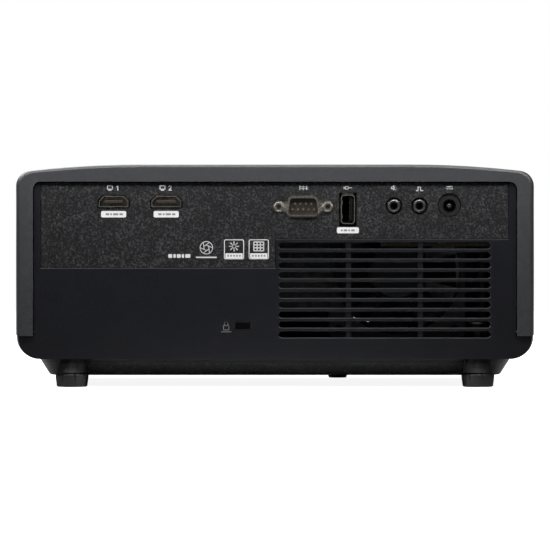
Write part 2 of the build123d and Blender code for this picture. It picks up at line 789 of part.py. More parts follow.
def engine_screws():
    """Six down through the lid and four back through the lens flange."""
    top, face = engine_z[1] + 3, engine_y[1] + 3
    screws = []
    for x, y in lid_screw_places():
        screws.append(rod(2.7, x, y, top, top + 2) + rod(1.2, x, y, top - 9, top))
    for x, z in flange_screw_places():
        screws.append(rod_y(2.7, x, z, face, face + 2) + rod_y(1.2, x, z, face - 6, face))
    return group(screws)


# Projection lens

def lens_barrel():
    profile = [(16, 24, 45), (26, 45, 48), (19, 48, 54), (barrel_r, 54, 86), (ring_r, 86, 99)]
    barrel = rod_y(profile[0][0], lens_x, lens_z, *profile[0][1:])
    for radius, y0, y1 in profile[1:]:
        barrel += rod_y(radius, lens_x, lens_z, y0, y1)
    barrel = fillet(barrel.edges().filter_by(GeomType.CIRCLE).sort_by(Axis.Y)[-1], 1)
    for radius, y0, y1 in ((13, 23, 57), (22, 57, 86.5), (24.1, 86, 94)):
        barrel -= rod_y(radius, lens_x, lens_z, y0, y1)
    barrel -= Pos(lens_x, 96.5, lens_z) * Rot(-90, 0, 0) * Cone(24.6, 31.2, 6)
    for x, z in flange_screw_places():
        barrel -= rod_y(1.6, x, z, 44, 49)
    return barrel


def lens_elements():
    """Rear, middle and front glasses."""
    pieces = []
    for y, radius, thickness in ((28, 12.95, 5), (61, 21.95, 7), (76, 21.95, 8), (90, 24.05, 7)):
        pieces.append(Pos(lens_x, y, lens_z) * Rot(90, 0, 0) * lens(radius, thickness))
    return group(pieces)


def knurled_ring(y0, y1):
    """A ring on the barrel, with finger grooves along it."""
    ring = rod_y(ring_r, lens_x, lens_z, y0, y1)
    ring = chamfer(ring.edges().filter_by(GeomType.CIRCLE), 0.8)
    for step in range(40):
        angle = radians(9 * step)
        x = lens_x + (ring_r + 0.3) * cos(angle)
        z = lens_z + (ring_r + 0.3) * sin(angle)
        ring -= rod_y(0.9, x, z, y0 + 2, y1 - 2)
    return ring - rod_y(barrel_r + ring_fit, lens_x, lens_z, y0 - 1, y1 + 1)


def zoom_ring():
    lever = block(lens_x - 3, lens_x + 3, 59, 65, lens_z + ring_r - 2, lens_z + ring_r + 9)
    lever = fillet(lever.faces().sort_by(Axis.Z)[-1].edges(), 1.5)
    return knurled_ring(56, 68) + lever


def focus_ring():
    return knurled_ring(70, 84)


def lens_well():
    """The liner of the cover's window over the two rings."""
    width, length = well_size[0] - 0.5, well_size[1] - 0.5
    place = Plane(origin=(lens_x, well_y, 84))
    liner = extrude(place * RectangleRounded(width, length, 4.75), amount=29.2)
    liner -= extrude(place * RectangleRounded(width - 3, length - 3, 3.25), amount=30)
    return liner - rod_y(ring_r + 1.2, lens_x, lens_z, 50, 90)


# Front

def bowed_front(set_back):
    """Everything behind the front's gentle bow."""
    radius = (body_width / 2 - side_bow) ** 2 / (2 * front_bow)
    return rod(radius, 0, front_y - set_back - radius, 0, 2 * cover_edge_z)


def front_bezel():
    start = cover_front_y + 0.2
    shell = body(0, rear_y, front_y) & bowed_front(0) & block(-140, 140, start, 120, 0, 130)
    shell = fillet(shell.faces().sort_by(Axis.Y)[-1].edges(), 5)
    shell -= body(wall, start - 1, front_y) & bowed_front(bezel_wall)
    shell -= push(RectangleRounded(*grille_window, 6), grille_x, grille_z, start, 120)
    shell -= push(Rot(0, 0, 90) * SlotOverall(18, 8), front_window_x, grille_z, start, 120)
    return shell - rod_y(collar_r, lens_x, lens_z, start - 1, 120)


def front_grille():
    """Level bars like the rear's, stiffened by three upright ribs."""
    width, height = grille_window[0] - 0.4, grille_window[1] - 0.4
    grille = push(RectangleRounded(width, height, 5.8), grille_x, grille_z, 100.4, 105.2)
    grille += push(RectangleRounded(width + 4, height + 4, 7), grille_x, grille_z, 99, 100.9)
    for level in range(13):
        z = grille_z + slot_pitch * (level - 6)
        grille -= push(SlotOverall(width - 8, slot_height), grille_x, z, 98, 106)
    for x in (grille_x - 24, grille_x, grille_x + 24):
        grille += block(x - 1.25, x + 1.25, 99, 103.5, grille_z - 32, grille_z + 32)
    return grille


def lens_collar():
    """The dished ring round the lens, with a flange behind the bezel."""
    collar = rod_y(collar_r - 0.2, lens_x, lens_z, 96, 105.8)
    collar += rod_y(collar_r + 2, lens_x, lens_z, 98.5, 100.5)
    return collar - Pos(lens_x, 101, lens_z) * Rot(-90, 0, 0) * Cone(collar_throat_r, 41, 10.2)


def front_ir_window():
    lens_cap = push(Rot(0, 0, 90) * SlotOverall(17.7, 7.7), front_window_x, grille_z, 103.6, 107.6)
    flange = push(Rot(0, 0, 90) * SlotOverall(21, 11), front_window_x, grille_z, 102.6, 104.6)
    return lens_cap + flange


# Keypad

def keypad_plate():
    """The recessed plate on the top, with four posts down to its board."""
    low = keypad_top_z - keypad_thickness
    outline = Plane(origin=(keypad_x, keypad_y, low)) * RectangleRounded(*keypad_size, 3.8)
    plate = extrude(outline, keypad_thickness)
    plate -= rod(nav_r + key_gap, nav_x, nav_y, low - 1, keypad_top_z + 1)
    plate -= rod(power_key_r + key_gap, power_key_x, power_key_y, low - 1, keypad_top_z + 1)
    for step in range(3):
        plate -= rod(1.0, power_key_x, nav_y + 2 + 6 * step, low - 1, keypad_top_z + 1)
    for x in (-28, 28):
        for y in (-18, 18):
            plate += rod(2.0, keypad_x + x, keypad_y + y, keypad_board_z[1], low)
    return plate


def key_centers():
    """Where each key presses its switch."""
    centers = {"power_key": (power_key_x, power_key_y), "enter_key": (nav_x, nav_y)}
    reach = (nav_r + enter_r) / 2 + 0.5
    for name, angle in arrow_angles.items():
        centers[name] = (nav_x + reach * cos(radians(angle)), nav_y + reach * sin(radians(angle)))
    return centers


def keypad_board():
    board = block(keypad_x - 30, keypad_x + 30, keypad_y - 20, keypad_y + 20, *keypad_board_z)
    for x, y in key_centers().values():
        board += rod(2.5, x, y, keypad_board_z[1], switch_top_z)
    return board


def round_key(x, y, radius):
    """A domed cap with a retaining flange and a stem over its switch."""
    flange_r = radius + 1.0 if radius < enter_r else radius
    cap = rod(radius, x, y, key_flange_z[0], key_top_z)
    cap = fillet(cap.edges().sort_by(Axis.Z)[-1], 0.6)
    cap += rod(flange_r, x, y, *key_flange_z)
    return cap + rod(1.8, x, y, key_stem_z, key_flange_z[0])


def arrow_key(angle):
    """A quarter of the ring round the enter key."""
    inner, outer = enter_r + 0.6, nav_r
    ring = rod(outer, 0, 0, key_flange_z[0], key_top_z) + rod(outer + 1, 0, 0, *key_flange_z)
    ring -= rod(inner, 0, 0, 100, 120)
    wedge = make_face(Polyline((0.5, 0), (22, 21.5), (22, -21.5), close=True))
    key = ring & extrude(Plane(origin=(0, 0, 105)) * wedge, amount=12)
    key = fillet(key.faces().sort_by(Axis.Z)[-1].edges(), 0.4)
    reach = (nav_r + enter_r) / 2 + 0.5
    key += rod(1.8, reach, 0, key_stem_z, key_flange_z[0])
    return Pos(nav_x, nav_y, 0) * Rot(0, 0, angle) * key


def pieces():
    """Every node and its shape."""
    nodes = {
        "top_cover": top_cover(),
        "bottom_case": bottom_case(),
        "io_plate": io_plate(),
        "front_bezel": front_bezel(),
        "front_grille": front_grille(),
        "lens_collar": lens_collar(),
        "lens_well": lens_well(),
        "front_ir_window": front_ir_window(),
        "video_sockets": group([video_socket(x) for x in video_x]),
        "serial_connector": serial_connector(),
        "serial_jack_screws": group([jack_screw(serial_x + s * jack_screw_offset) for s in (-1, 1)]),
        "power_out_socket": power_out_socket(),
        "audio_jacks": group([audio_jack(x) for x in jack_x]),
        "dc_inlet": dc_inlet(),
        "main_board": main_board(),
        "main_board_parts": main_board_parts(),
        "converter_board": converter_board(),
        "speaker": speaker(),
        "intake_fan_frame": fan_frame(intake_center, intake_size),
        "intake_fan_rotor": fan_rotor(intake_center, intake_size),
        "exhaust_fan_frame": fan_frame(exhaust_center, exhaust_size),
        "exhaust_fan_rotor": fan_rotor(exhaust_center, exhaust_size),
        "laser_bank": laser_bank(),
        "cold_plate": cold_plate(),
        "heat_pipes": group([heat_pipe(z, side) for z, side in pipe_heights.items()]),
        "radiator_fins": radiator_fins(),
        "phosphor_wheel": phosphor_wheel(),
        "filter_wheel": filter_wheel(),
        "wheel_motors": wheel_motors(),
        "engine_lenses": engine_lenses(),
        "engine_mirrors": engine_mirrors(),
        "integrator_rod": integrator_rod(),
        "prism_pair": prism_pair(),
        "imager_board": imager_board(),
        "imager_heat_sink": imager_heat_sink(),
        "shift_frame": shift_frame(),
        "shift_plate": shift_plate(),
        "engine_housing": engine_housing(),
        "engine_lid": engine_lid(),
        "engine_screws": engine_screws(),
        "lens_barrel": lens_barrel(),
        "lens_elements": lens_elements(),
        "zoom_ring": zoom_ring(),
        "focus_ring": focus_ring(),
        "keypad_plate": keypad_plate(),
        "keypad_board": keypad_board(),
        "power_key": round_key(power_key_x, power_key_y, power_key_r),
        "enter_key": round_key(nav_x, nav_y, enter_r),
        "case_screws": group([case_screw(x, y) for x, y in post_places]),
        "ceiling_inserts": group([ceiling_insert(x, y) for x, y in insert_places]),
    }
    for name, angle in arrow_angles.items():
        nodes[name] = arrow_key(angle)
    for name in foot_places:
        nodes[name + "_foot"] = foot(name)
        nodes[name + "_clip"] = foot_clip(name)
    return nodes


os.makedirs("parts", exist_ok=True)
for node, shape in pieces().items():
    export_step(shape, f"parts/{node}.step")
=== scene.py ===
import bpy
import bmesh
from math import cos, pi, radians, sin
from mathutils import Matrix, Vector


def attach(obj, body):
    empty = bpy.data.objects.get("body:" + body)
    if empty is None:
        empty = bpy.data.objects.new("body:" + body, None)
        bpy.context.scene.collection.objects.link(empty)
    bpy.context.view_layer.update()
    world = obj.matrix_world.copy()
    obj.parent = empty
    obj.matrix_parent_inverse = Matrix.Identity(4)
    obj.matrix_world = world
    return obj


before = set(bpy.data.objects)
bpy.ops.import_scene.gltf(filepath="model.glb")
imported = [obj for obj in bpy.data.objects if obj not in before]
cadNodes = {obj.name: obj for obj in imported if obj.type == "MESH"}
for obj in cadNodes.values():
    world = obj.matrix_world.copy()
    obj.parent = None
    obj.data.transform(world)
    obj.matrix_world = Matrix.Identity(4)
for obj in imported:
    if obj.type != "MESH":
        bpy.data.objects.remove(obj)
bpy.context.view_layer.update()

mm = 0.001


# Small helpers for shaders

def addNode(tree, kind, x, y, **values):
    node = tree.nodes.new("ShaderNode" + kind)
    node.location = (x, y)
    for name, value in values.items():
        if name in node.inputs:
            node.inputs[name].default_value = value
        else:
            setattr(node, name, value)
    return node


def wire(tree, source, output, target, socket):
    tree.links.new(source.outputs[output], target.inputs[socket])


def newGroup(name, inputs, outputs):
    tree = bpy.data.node_groups.new(name, "ShaderNodeTree")
    for label, value in inputs.items():
        kind = "NodeSocketVector" if value is None else "NodeSocketFloat"
        socket = tree.interface.new_socket(name=label, in_out="INPUT", socket_type=kind)
        if value is not None:
            socket.default_value = value
    for label in outputs:
        tree.interface.new_socket(name=label, in_out="OUTPUT", socket_type="NodeSocketFloat")
    source = tree.nodes.new("NodeGroupInput")
    source.location = (-900, 0)
    target = tree.nodes.new("NodeGroupOutput")
    target.location = (700, 0)
    return tree, source, target


# Fine spark-eroded texture of a moulded skin: Height for the bump, Fleck for pale grains
def mouldedSkin():
    tree, source, target = newGroup(
        "mouldedSkin", {"Vector": None, "Grain": 900.0, "Coarse": 260.0, "Flecks": 0.6},
        ["Height", "Fleck"])
    fine = addNode(tree, "TexNoise", -600, 200, Detail=4.0, Roughness=0.6)
    wire(tree, source, "Vector", fine, "Vector")
    wire(tree, source, "Grain", fine, "Scale")
    cells = addNode(tree, "TexVoronoi", -600, -80, feature="SMOOTH_F1", Smoothness=0.6)
    wire(tree, source, "Vector", cells, "Vector")
    wire(tree, source, "Grain", cells, "Scale")
    broad = addNode(tree, "TexNoise", -600, -360, Detail=2.0)
    wire(tree, source, "Vector", broad, "Vector")
    wire(tree, source, "Coarse", broad, "Scale")
    mixed = addNode(tree, "Math", -320, 100, operation="MULTIPLY_ADD")
    wire(tree, cells, "Distance", mixed, 0)
    mixed.inputs[1].default_value = 0.7
    wire(tree, fine, "Fac", mixed, 2)
    wire(tree, mixed, "Value", target, "Height")
    grains = addNode(tree, "MapRange", -320, -120, **{"From Min": 0.47, "From Max": 0.70})
    wire(tree, fine, "Fac", grains, "Value")
    patches = addNode(tree, "MapRange", -320, -380, **{"From Min": 0.35, "From Max": 0.65, "To Min": 0.4})
    wire(tree, broad, "Fac", patches, "Value")
    both = addNode(tree, "Math", -60, -180, operation="MULTIPLY")
    wire(tree, grains, "Result", both, 0)
    wire(tree, patches, "Result", both, 1)
    amount = addNode(tree, "Math", 160, -180, operation="MULTIPLY")
    wire(tree, both, "Value", amount, 0)
    wire(tree, source, "Flecks", amount, 1)
    wire(tree, amount, "Value", target, "Fleck")
    return tree


# Slow drift of tone and a trace of handling: Tone for colour, Smear for roughness
def surfaceDrift():
    tree, source, target = newGroup(
        "surfaceDrift", {"Vector": None, "Size": 14.0, "Smears": 60.0}, ["Tone", "Smear"])
    slow = addNode(tree, "TexNoise", -600, 150, Detail=3.0, Roughness=0.55)
    wire(tree, source, "Vector", slow, "Vector")
    wire(tree, source, "Size", slow, "Scale")
    wire(tree, slow, "Fac", target, "Tone")
    streak = addNode(tree, "TexNoise", -600, -150, Detail=5.0, Roughness=0.7, Distortion=1.2)
    wire(tree, source, "Vector", streak, "Vector")
    wire(tree, source, "Smears", streak, "Scale")
    shaped = addNode(tree, "MapRange", -320, -150, **{"From Min": 0.4, "From Max": 0.75})
    wire(tree, streak, "Fac", shaped, "Value")
    wire(tree, shaped, "Result", target, "Smear")
    return tree


# Where handling has polished or chipped the outer edges; the lighter edge colour is also a painted
# highlight
def edgeWearAndSheen():
    tree, source, target = newGroup(
        "edgeWearAndSheen", {"Vector": None, "Start": 0.53, "Break up": 350.0}, ["Mask"])
    shape = addNode(tree, "NewGeometry", -700, 150)
    spread = addNode(tree, "MapRange", -460, 150, **{"To Max": 1.0})
    wire(tree, shape, "Pointiness", spread, "Value")
    wire(tree, source, "Start", spread, "From Min")
    top = addNode(tree, "Math", -700, -60, operation="ADD")
    wire(tree, source, "Start", top, 0)
    top.inputs[1].default_value = 0.08
    wire(tree, top, "Value", spread, "From Max")
    rough = addNode(tree, "TexNoise", -700, -260, Detail=4.0)
    wire(tree, source, "Vector", rough, "Vector")
    wire(tree, source, "Break up", rough, "Scale")
    broken = addNode(tree, "MapRange", -460, -260, **{"From Min": 0.4, "From Max": 0.6})
    wire(tree, rough, "Fac", broken, "Value")
    mask = addNode(tree, "Math", -200, 0, operation="MULTIPLY")
    wire(tree, spread, "Result", mask, 0)
    wire(tree, broken, "Result", mask, 1)
    wire(tree, mask, "Value", target, "Mask")
    return tree


skinGroup = mouldedSkin()
driftGroup = surfaceDrift()
wearAndSheenGroup = edgeWearAndSheen()
print("shader groups ready")


def newMaterial(name, roughness, metallic=0.0, coat=0.0, specular=0.5):
    material = bpy.data.materials.new(name)
    material.use_nodes = True
    tree = material.node_tree
    shader = tree.nodes["Principled BSDF"]
    shader.inputs["Roughness"].default_value = roughness
    shader.inputs["Metallic"].default_value = metallic
    shader.inputs["Coat Weight"].default_value = coat
    shader.inputs["Coat Roughness"].default_value = 0.12
    shader.inputs["Specular IOR Level"].default_value = specular
    place = addNode(tree, "TexCoord", -1300, 0)
    return material, tree, shader, place


def groupNode(tree, group, place, x, y, **values):
    node = tree.nodes.new("ShaderNodeGroup")
    node.node_tree = group
    node.location = (x, y)
    for name, value in values.items():
        node.inputs[name.replace("_", " ")].default_value = value
    wire(tree, place, "Object", node, "Vector")
    return node


def blendColour(tree, factor, output, first, second, x, y):
    mix = addNode(tree, "Mix", x, y, data_type="RGBA")
    mix.inputs["Factor"].default_value = 0.5
    tree.links.new(factor.outputs[output], mix.inputs["Factor"])
    for socket, colour in (("A", first), ("B", second)):
        target = [s for s in mix.inputs if s.name == socket and s.type == "RGBA"][0]
        if isinstance(colour, tuple):
            target.default_value = (*colour, 1.0)
        else:
            tree.links.new(colour, target)
    return [s for s in mix.outputs if s.type == "RGBA"][0]


# Moulded plastic: tone drift, pale flecks, worn edges painted lighter as wear and painted highlight, and a
# spark-eroded bump
def mouldedPlastic(name, base, pale, roughness, grain, bump, flecks=0.0, coat=0.0, wearAndSheen=0.5, specular=0.5):
    material, tree, shader, place = newMaterial(name, roughness, coat=coat, specular=specular)
    skin = groupNode(tree, skinGroup, place, -1000, 200, Grain=grain, Flecks=flecks)
    drift = groupNode(tree, driftGroup, place, -1000, -100)
    wornAndLit = groupNode(tree, wearAndSheenGroup, place, -1000, -350)
    deeper = tuple(channel * 0.94 for channel in base)
    lighter = tuple(channel * 1.06 for channel in base)
    toned = blendColour(tree, drift, "Tone", deeper, lighter, -700, 100)
    flecked = blendColour(tree, skin, "Fleck", toned, pale, -480, 100)
    # Sharp edges painted 1.6 times lighter: wear, and a painted highlight
    wearAndSheenAmount = addNode(tree, "Math", -700, -350, operation="MULTIPLY")
    wire(tree, wornAndLit, "Mask", wearAndSheenAmount, 0)
    wearAndSheenAmount.inputs[1].default_value = wearAndSheen
    edged = blendColour(tree, wearAndSheenAmount, "Value", flecked, tuple(c * 1.6 for c in base), -260, 100)
    tree.links.new(edged, shader.inputs["Base Color"])
    rough = addNode(tree, "MapRange", -480, -200,
                    **{"To Min": roughness - 0.015, "To Max": roughness + 0.025})
    wire(tree, drift, "Smear", rough, "Value")
    wire(tree, rough, "Result", shader, "Roughness")
    relief = addNode(tree, "Bump", -260, -400, Strength=bump, Distance=0.0002)
    wire(tree, skin, "Height", relief, "Height")
    wire(tree, relief, "Normal", shader, "Normal")
    return material


# Plated, stamped or cast metal with fine brushing and a little tarnish
def workedMetal(name, base, tarnish, roughness, grain=700.0, bump=0.15, stretch=(1, 1, 8)):
    material, tree, shader, place = newMaterial(name, roughness, metallic=1.0)
    mapping = addNode(tree, "Mapping", -1100, 200, Scale=stretch)
    wire(tree, place, "Object", mapping, "Vector")
    lines = addNode(tree, "TexNoise", -850, 200, Scale=grain, Detail=5.0, Roughness=0.65)
    wire(tree, mapping, "Vector", lines, "Vector")
    drift = groupNode(tree, driftGroup, place, -850, -100, Size=60.0, Smears=200.0)
    tinted = blendColour(tree, drift, "Smear", base, tarnish, -480, 150)
    tree.links.new(tinted, shader.inputs["Base Color"])
    rough = addNode(tree, "MapRange", -480, -100,
                    **{"To Min": roughness - 0.08, "To Max": roughness + 0.12})
    wire(tree, lines, "Fac", rough, "Value")
    wire(tree, rough, "Result", shader, "Roughness")
    relief = addNode(tree, "Bump", -260, -300, Strength=bump, Distance=0.0001)
    wire(tree, lines, "Fac", relief, "Height")
    wire(tree, relief, "Normal", shader, "Normal")
    return material


def clearGlass(name, tint, roughness=0.02, film=0.0):
    material, tree, shader, place = newMaterial(name, roughness)
    shader.inputs["Transmission Weight"].default_value = 0.85
    shader.inputs["IOR"].default_value = 1.5
    shader.inputs["Coat Weight"].default_value = film
    drift = groupNode(tree, driftGroup, place, -850, 0, Size=40.0, Smears=90.0)
    tinted = blendColour(tree, drift, "Tone", tint, tuple(channel * 0.85 for channel in tint), -480, 150)
    tree.links.new(tinted, shader.inputs["Base Color"])
    rough = addNode(tree, "MapRange", -480, -100, **{"To Min": roughness, "To Max": roughness + 0.05})
    wire(tree, drift, "Smear", rough, "Value")
    wire(tree, rough, "Result", shader, "Roughness")
    return material


# Solder mask over copper tracks, which show as slightly paler straight runs
def circuitBoard(name, base, track):
    material, tree, shader, place = newMaterial(name, 0.35, coat=0.3)
    cells = addNode(tree, "TexBrick", -850, 100, Scale=160.0)
    cells.inputs["Mortar Size"].default_value = 0.03
    wire(tree, place, "Object", cells, "Vector")
    drift = groupNode(tree, driftGroup, place, -850, -250, Size=50.0)
    toned = blendColour(tree, drift, "Tone", base, tuple(channel * 1.3 for channel in base), -600, -50)
    tracked = blendColour(tree, cells, "Fac", toned, track, -380, 100)
    tree.links.new(tracked, shader.inputs["Base Color"])
    relief = addNode(tree, "Bump", -260, -300, Strength=0.3, Distance=0.0001)
    wire(tree, cells, "Fac", relief, "Height")
    wire(tree, relief, "Normal", shader, "Normal")
    return material


def paint(material, *names):
    for name in names:
        slots = cadNodes[name].data.materials
        for index in range(max(1, len(slots))):
            if index < len(slots):
                slots[index] = material
            else:
                slots.append(material)


casing = {
    "cover": dict(base=(0.030, 0.031, 0.034), pale=(0.10, 0.10, 0.105), roughness=0.42,
                  grain=1400.0, bump=0.3, flecks=0.25),
    "case": dict(base=(0.0052, 0.0055, 0.0082), pale=(0.024, 0.024, 0.028), roughness=0.32,
                 grain=1500.0, bump=0.3, flecks=0.2, specular=0.5),
    "plate": dict(base=(0.0075, 0.0075, 0.0083), pale=(0.075, 0.075, 0.078), roughness=0.5,
                  grain=1150.0, bump=0.7, flecks=1.0, wearAndSheen=0.15, specular=0.2),
    "bezel": dict(base=(0.024, 0.025, 0.028), pale=(0.07, 0.07, 0.075), roughness=0.36,
                  grain=1500.0, bump=0.2),
    "grille": dict(base=(0.011, 0.011, 0.012), pale=(0.04, 0.04, 0.04), roughness=0.42,
                   grain=1200.0, bump=0.3),
    "collar": dict(base=(0.012, 0.012, 0.013), pale=(0.03, 0.03, 0.03), roughness=0.22,
                   grain=900.0, bump=0.05, coat=0.4),
    "well": dict(base=(0.011, 0.011, 0.012), pale=(0.03, 0.03, 0.03), roughness=0.6,
                 grain=900.0, bump=0.4),
    "barrel": dict(base=(0.010, 0.010, 0.011), pale=(0.03, 0.03, 0.03), roughness=0.38,
                   grain=1300.0, bump=0.2),
    "keypad": dict(base=(0.010, 0.010, 0.011), pale=(0.03, 0.03, 0.03), roughness=0.42,
                   grain=1400.0, bump=0.15, specular=0.4),
    "key": dict(base=(0.035, 0.036, 0.040), pale=(0.08, 0.08, 0.08), roughness=0.38,
                grain=1500.0, bump=0.15),
    "socketBlack": dict(base=(0.012, 0.012, 0.012), pale=(0.03, 0.03, 0.03), roughness=0.35,
                        grain=900.0, bump=0.1),
    "fan": dict(base=(0.013, 0.013, 0.014), pale=(0.03, 0.03, 0.03), roughness=0.35,
                grain=900.0, bump=0.1),
}
plastics = {label: mouldedPlastic(label + "Plastic", **values) for label, values in casing.items()}

# Below its top edge the belly of the lower case is painted paler, with pale grains: a painted reflection of
# the white floor on the underside
belly = {
    "top": 0.0125, "fade": 0.0008, "grain": 1150.0,
    "base": (0.022, 0.022, 0.022), "pale": (0.085, 0.085, 0.085),
}


# Mixes the painted floor reflection into the case's colour below the belly's top edge
def paintBellyFloorReflection(material):
    tree = material.node_tree
    colour = tree.nodes["Principled BSDF"].inputs["Base Color"]
    place = addNode(tree, "TexCoord", -1300, -900)
    skin = groupNode(tree, skinGroup, place, -1000, -900, Grain=belly["grain"], Flecks=1.0)
    split = addNode(tree, "SeparateXYZ", -1000, -1150)
    wire(tree, place, "Object", split, "Vector")
    depth = addNode(tree, "MapRange", -700, -1150,
                    **{"From Min": belly["top"], "From Max": belly["top"] - belly["fade"]})
    wire(tree, split, "Z", depth, "Value")
    # Paler flecked colour for the belly: painted reflection of the floor
    reflectedFloorTone = blendColour(tree, skin, "Fleck", belly["base"], belly["pale"], -700, -900)
    blended = blendColour(tree, depth, "Result", colour.links[0].from_socket, reflectedFloorTone, -60, -600)
    tree.links.new(blended, colour)


paintBellyFloorReflection(plastics["case"])

rubber = mouldedPlastic("footRubber", (0.006, 0.006, 0.0065), (0.03, 0.03, 0.03), 0.4, 1100.0, 0.4,
                        flecks=0.2)
ringRubber = mouldedPlastic("ringRubber", (0.014, 0.014, 0.015), (0.04, 0.04, 0.04), 0.5, 1300.0, 0.35)
nickel = workedMetal("stampedNickel", (0.82, 0.79, 0.72), (0.5, 0.46, 0.39), 0.26)
steel = workedMetal("zincSteel", (0.42, 0.42, 0.43), (0.2, 0.2, 0.2), 0.35)
brass = workedMetal("insertBrass", (0.70, 0.52, 0.22), (0.4, 0.28, 0.12), 0.3)
copper = workedMetal("drawnCopper", (0.75, 0.40, 0.26), (0.4, 0.2, 0.12), 0.3, stretch=(1, 8, 1))
aluminium = workedMetal("finAluminium", (0.70, 0.70, 0.71), (0.45, 0.45, 0.46), 0.32)
casting = workedMetal("engineCasting", (0.16, 0.16, 0.165), (0.08, 0.08, 0.08), 0.5, bump=0.4,
                      stretch=(1, 1, 1))
phosphor = workedMetal("coatedDisc", (0.75, 0.68, 0.25), (0.6, 0.6, 0.55), 0.3)
optic = clearGlass("opticGlass", (0.90, 0.94, 0.97))
coated = clearGlass("coatedLens", (0.55, 0.62, 0.85), film=0.6)
filterGlass = clearGlass("filterGlass", (0.8, 0.6, 0.25))
irGlass = clearGlass("irWindowRed", (0.09, 0.012, 0.016), roughness=0.06, film=0.4)
mirrorCoat = workedMetal("mirrorCoat", (0.86, 0.88, 0.9), (0.8, 0.82, 0.85), 0.08, bump=0.02)
greenBoard = circuitBoard("greenBoard", (0.012, 0.05, 0.022), (0.03, 0.10, 0.045))
brownBoard = circuitBoard("brownBoard", (0.10, 0.066, 0.035), (0.16, 0.11, 0.06))
blueBoard = circuitBoard("blueBoard", (0.01, 0.03, 0.07), (0.02, 0.06, 0.12))

paint(plastics["cover"], "top_cover")
paint(plastics["case"], "bottom_case")
paint(plastics["plate"], "io_plate")
paint(plastics["bezel"], "front_bezel")
paint(plastics["grille"], "front_grille")
paint(plastics["collar"], "lens_collar")
paint(plastics["well"], "lens_well", "speaker")
paint(plastics["barrel"], "lens_barrel")
paint(plastics["keypad"], "keypad_plate")
paint(plastics["key"], "power_key", "enter_key", "up_key", "down_key", "left_key", "right_key")
paint(plastics["socketBlack"], "audio_jacks", "dc_inlet")
paint(plastics["fan"], "intake_fan_frame", "intake_fan_rotor", "exhaust_fan_frame", "exhaust_fan_rotor")
paint(rubber, "rear_left_foot", "rear_right_foot", "front_foot")
paint(ringRubber, "zoom_ring", "focus_ring")
paint(nickel, "video_sockets", "serial_connector", "power_out_socket", "serial_jack_screws")
paint(steel, "case_screws", "engine_screws", "rear_left_clip", "rear_right_clip", "front_clip")
paint(brass, "ceiling_inserts")
paint(copper, "cold_plate", "heat_pipes")
paint(aluminium, "radiator_fins", "imager_heat_sink", "main_board_parts", "laser_bank")
paint(casting, "engine_housing", "engine_lid", "wheel_motors", "shift_frame")
paint(phosphor, "phosphor_wheel")
paint(filterGlass, "filter_wheel")
paint(optic, "engine_lenses", "integrator_rod", "prism_pair", "shift_plate")
paint(coated, "lens_elements")
paint(irGlass, "front_ir_window")
paint(mirrorCoat, "engine_mirrors")
paint(greenBoard, "main_board", "keypad_board")
paint(brownBoard, "converter_board")
paint(blueBoard, "imager_board")
print("casing, metals and glass painted")


# Small helpers for meshes.  Outlines are lists of (x, z) seen from behind, in millimetres

def meshPiece(name, shape, material, body="body", smooth=35):
    bmesh.ops.recalc_face_normals(shape, faces=shape.faces)
    mesh = bpy.data.meshes.new(name)
    shape.to_mesh(mesh)
    shape.free()
    mesh.materials.append(material)
    mesh.shade_smooth()
    mesh.set_sharp_from_angle(angle=radians(smooth))
    piece = bpy.data.objects.new(name, mesh)
    bpy.context.scene.collection.objects.link(piece)
    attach(piece, body)
    return piece


# Rounds the sharp edges of a piece by a modifier
def soften(piece, width, segments=2, angle=40):
    bevel = piece.modifiers.new("softEdges", "BEVEL")
    bevel.width = width * mm
    bevel.segments = segments
    bevel.limit_method = "ANGLE"
    bevel.angle_limit = radians(angle)
    bevel.harden_normals = True
    return piece


def slab(shape, outline, y0, y1):
    front = [shape.verts.new((x * mm, y0 * mm, z * mm)) for x, z in outline]
    back = [shape.verts.new((x * mm, y1 * mm, z * mm)) for x, z in outline]
    shape.faces.new(front)
    shape.faces.new(back[::-1])
    for index in range(len(outline)):
        after = (index + 1) % len(outline)
        shape.faces.new((front[index], front[after], back[after], back[index]))


# A wall between two outlines that have the same number of points
def sleeve(shape, outer, inner, y0, y1):
    rings = []
    for outline, y in ((outer, y0), (outer, y1), (inner, y1), (inner, y0)):
        rings.append([shape.verts.new((x * mm, y * mm, z * mm)) for x, z in outline])
    for turn in range(4):
        one, two = rings[turn], rings[(turn + 1) % 4]
        for index in range(len(outer)):
            after = (index + 1) % len(outer)
            shape.faces.new((one[index], one[after], two[after], two[index]))


# A closed profile of (radius, y) turned about an axis along Y
def turned(shape, profile, x, z, sides=64):
    rings = []
    for side in range(sides):
        angle = 2 * pi * side / sides
        ring = [((x + r * cos(angle)) * mm, y * mm, (z + r * sin(angle)) * mm) for r, y in profile]
        rings.append([shape.verts.new(point) for point in ring])
    for side in range(sides):
        one, two = rings[side], rings[(side + 1) % sides]
        for index in range(len(profile)):
            after = (index + 1) % len(profile)
            shape.faces.new((one[index], one[after], two[after], two[index]))


def circle(x, z, radius, sides=12):
    turns = [2 * pi * step / sides for step in range(sides)]
    return [(x + radius * cos(turn), z + radius * sin(turn)) for turn in turns]


def arc(x, z, radius, start, end, steps=10):
    angles = [radians(start + (end - start) * k / steps) for k in range(steps + 1)]
    return [(x + radius * cos(angle), z + radius * sin(angle)) for angle in angles]


def roundedBox(x, z, width, height, corner):
    across, up = width / 2 - corner, height / 2 - corner
    points = []
    for sx, sz, start in ((1, 1, 0), (-1, 1, 90), (-1, -1, 180), (1, -1, 270)):
        points += arc(x + sx * across, z + sz * up, corner, start, start + 90, 5)
    return points


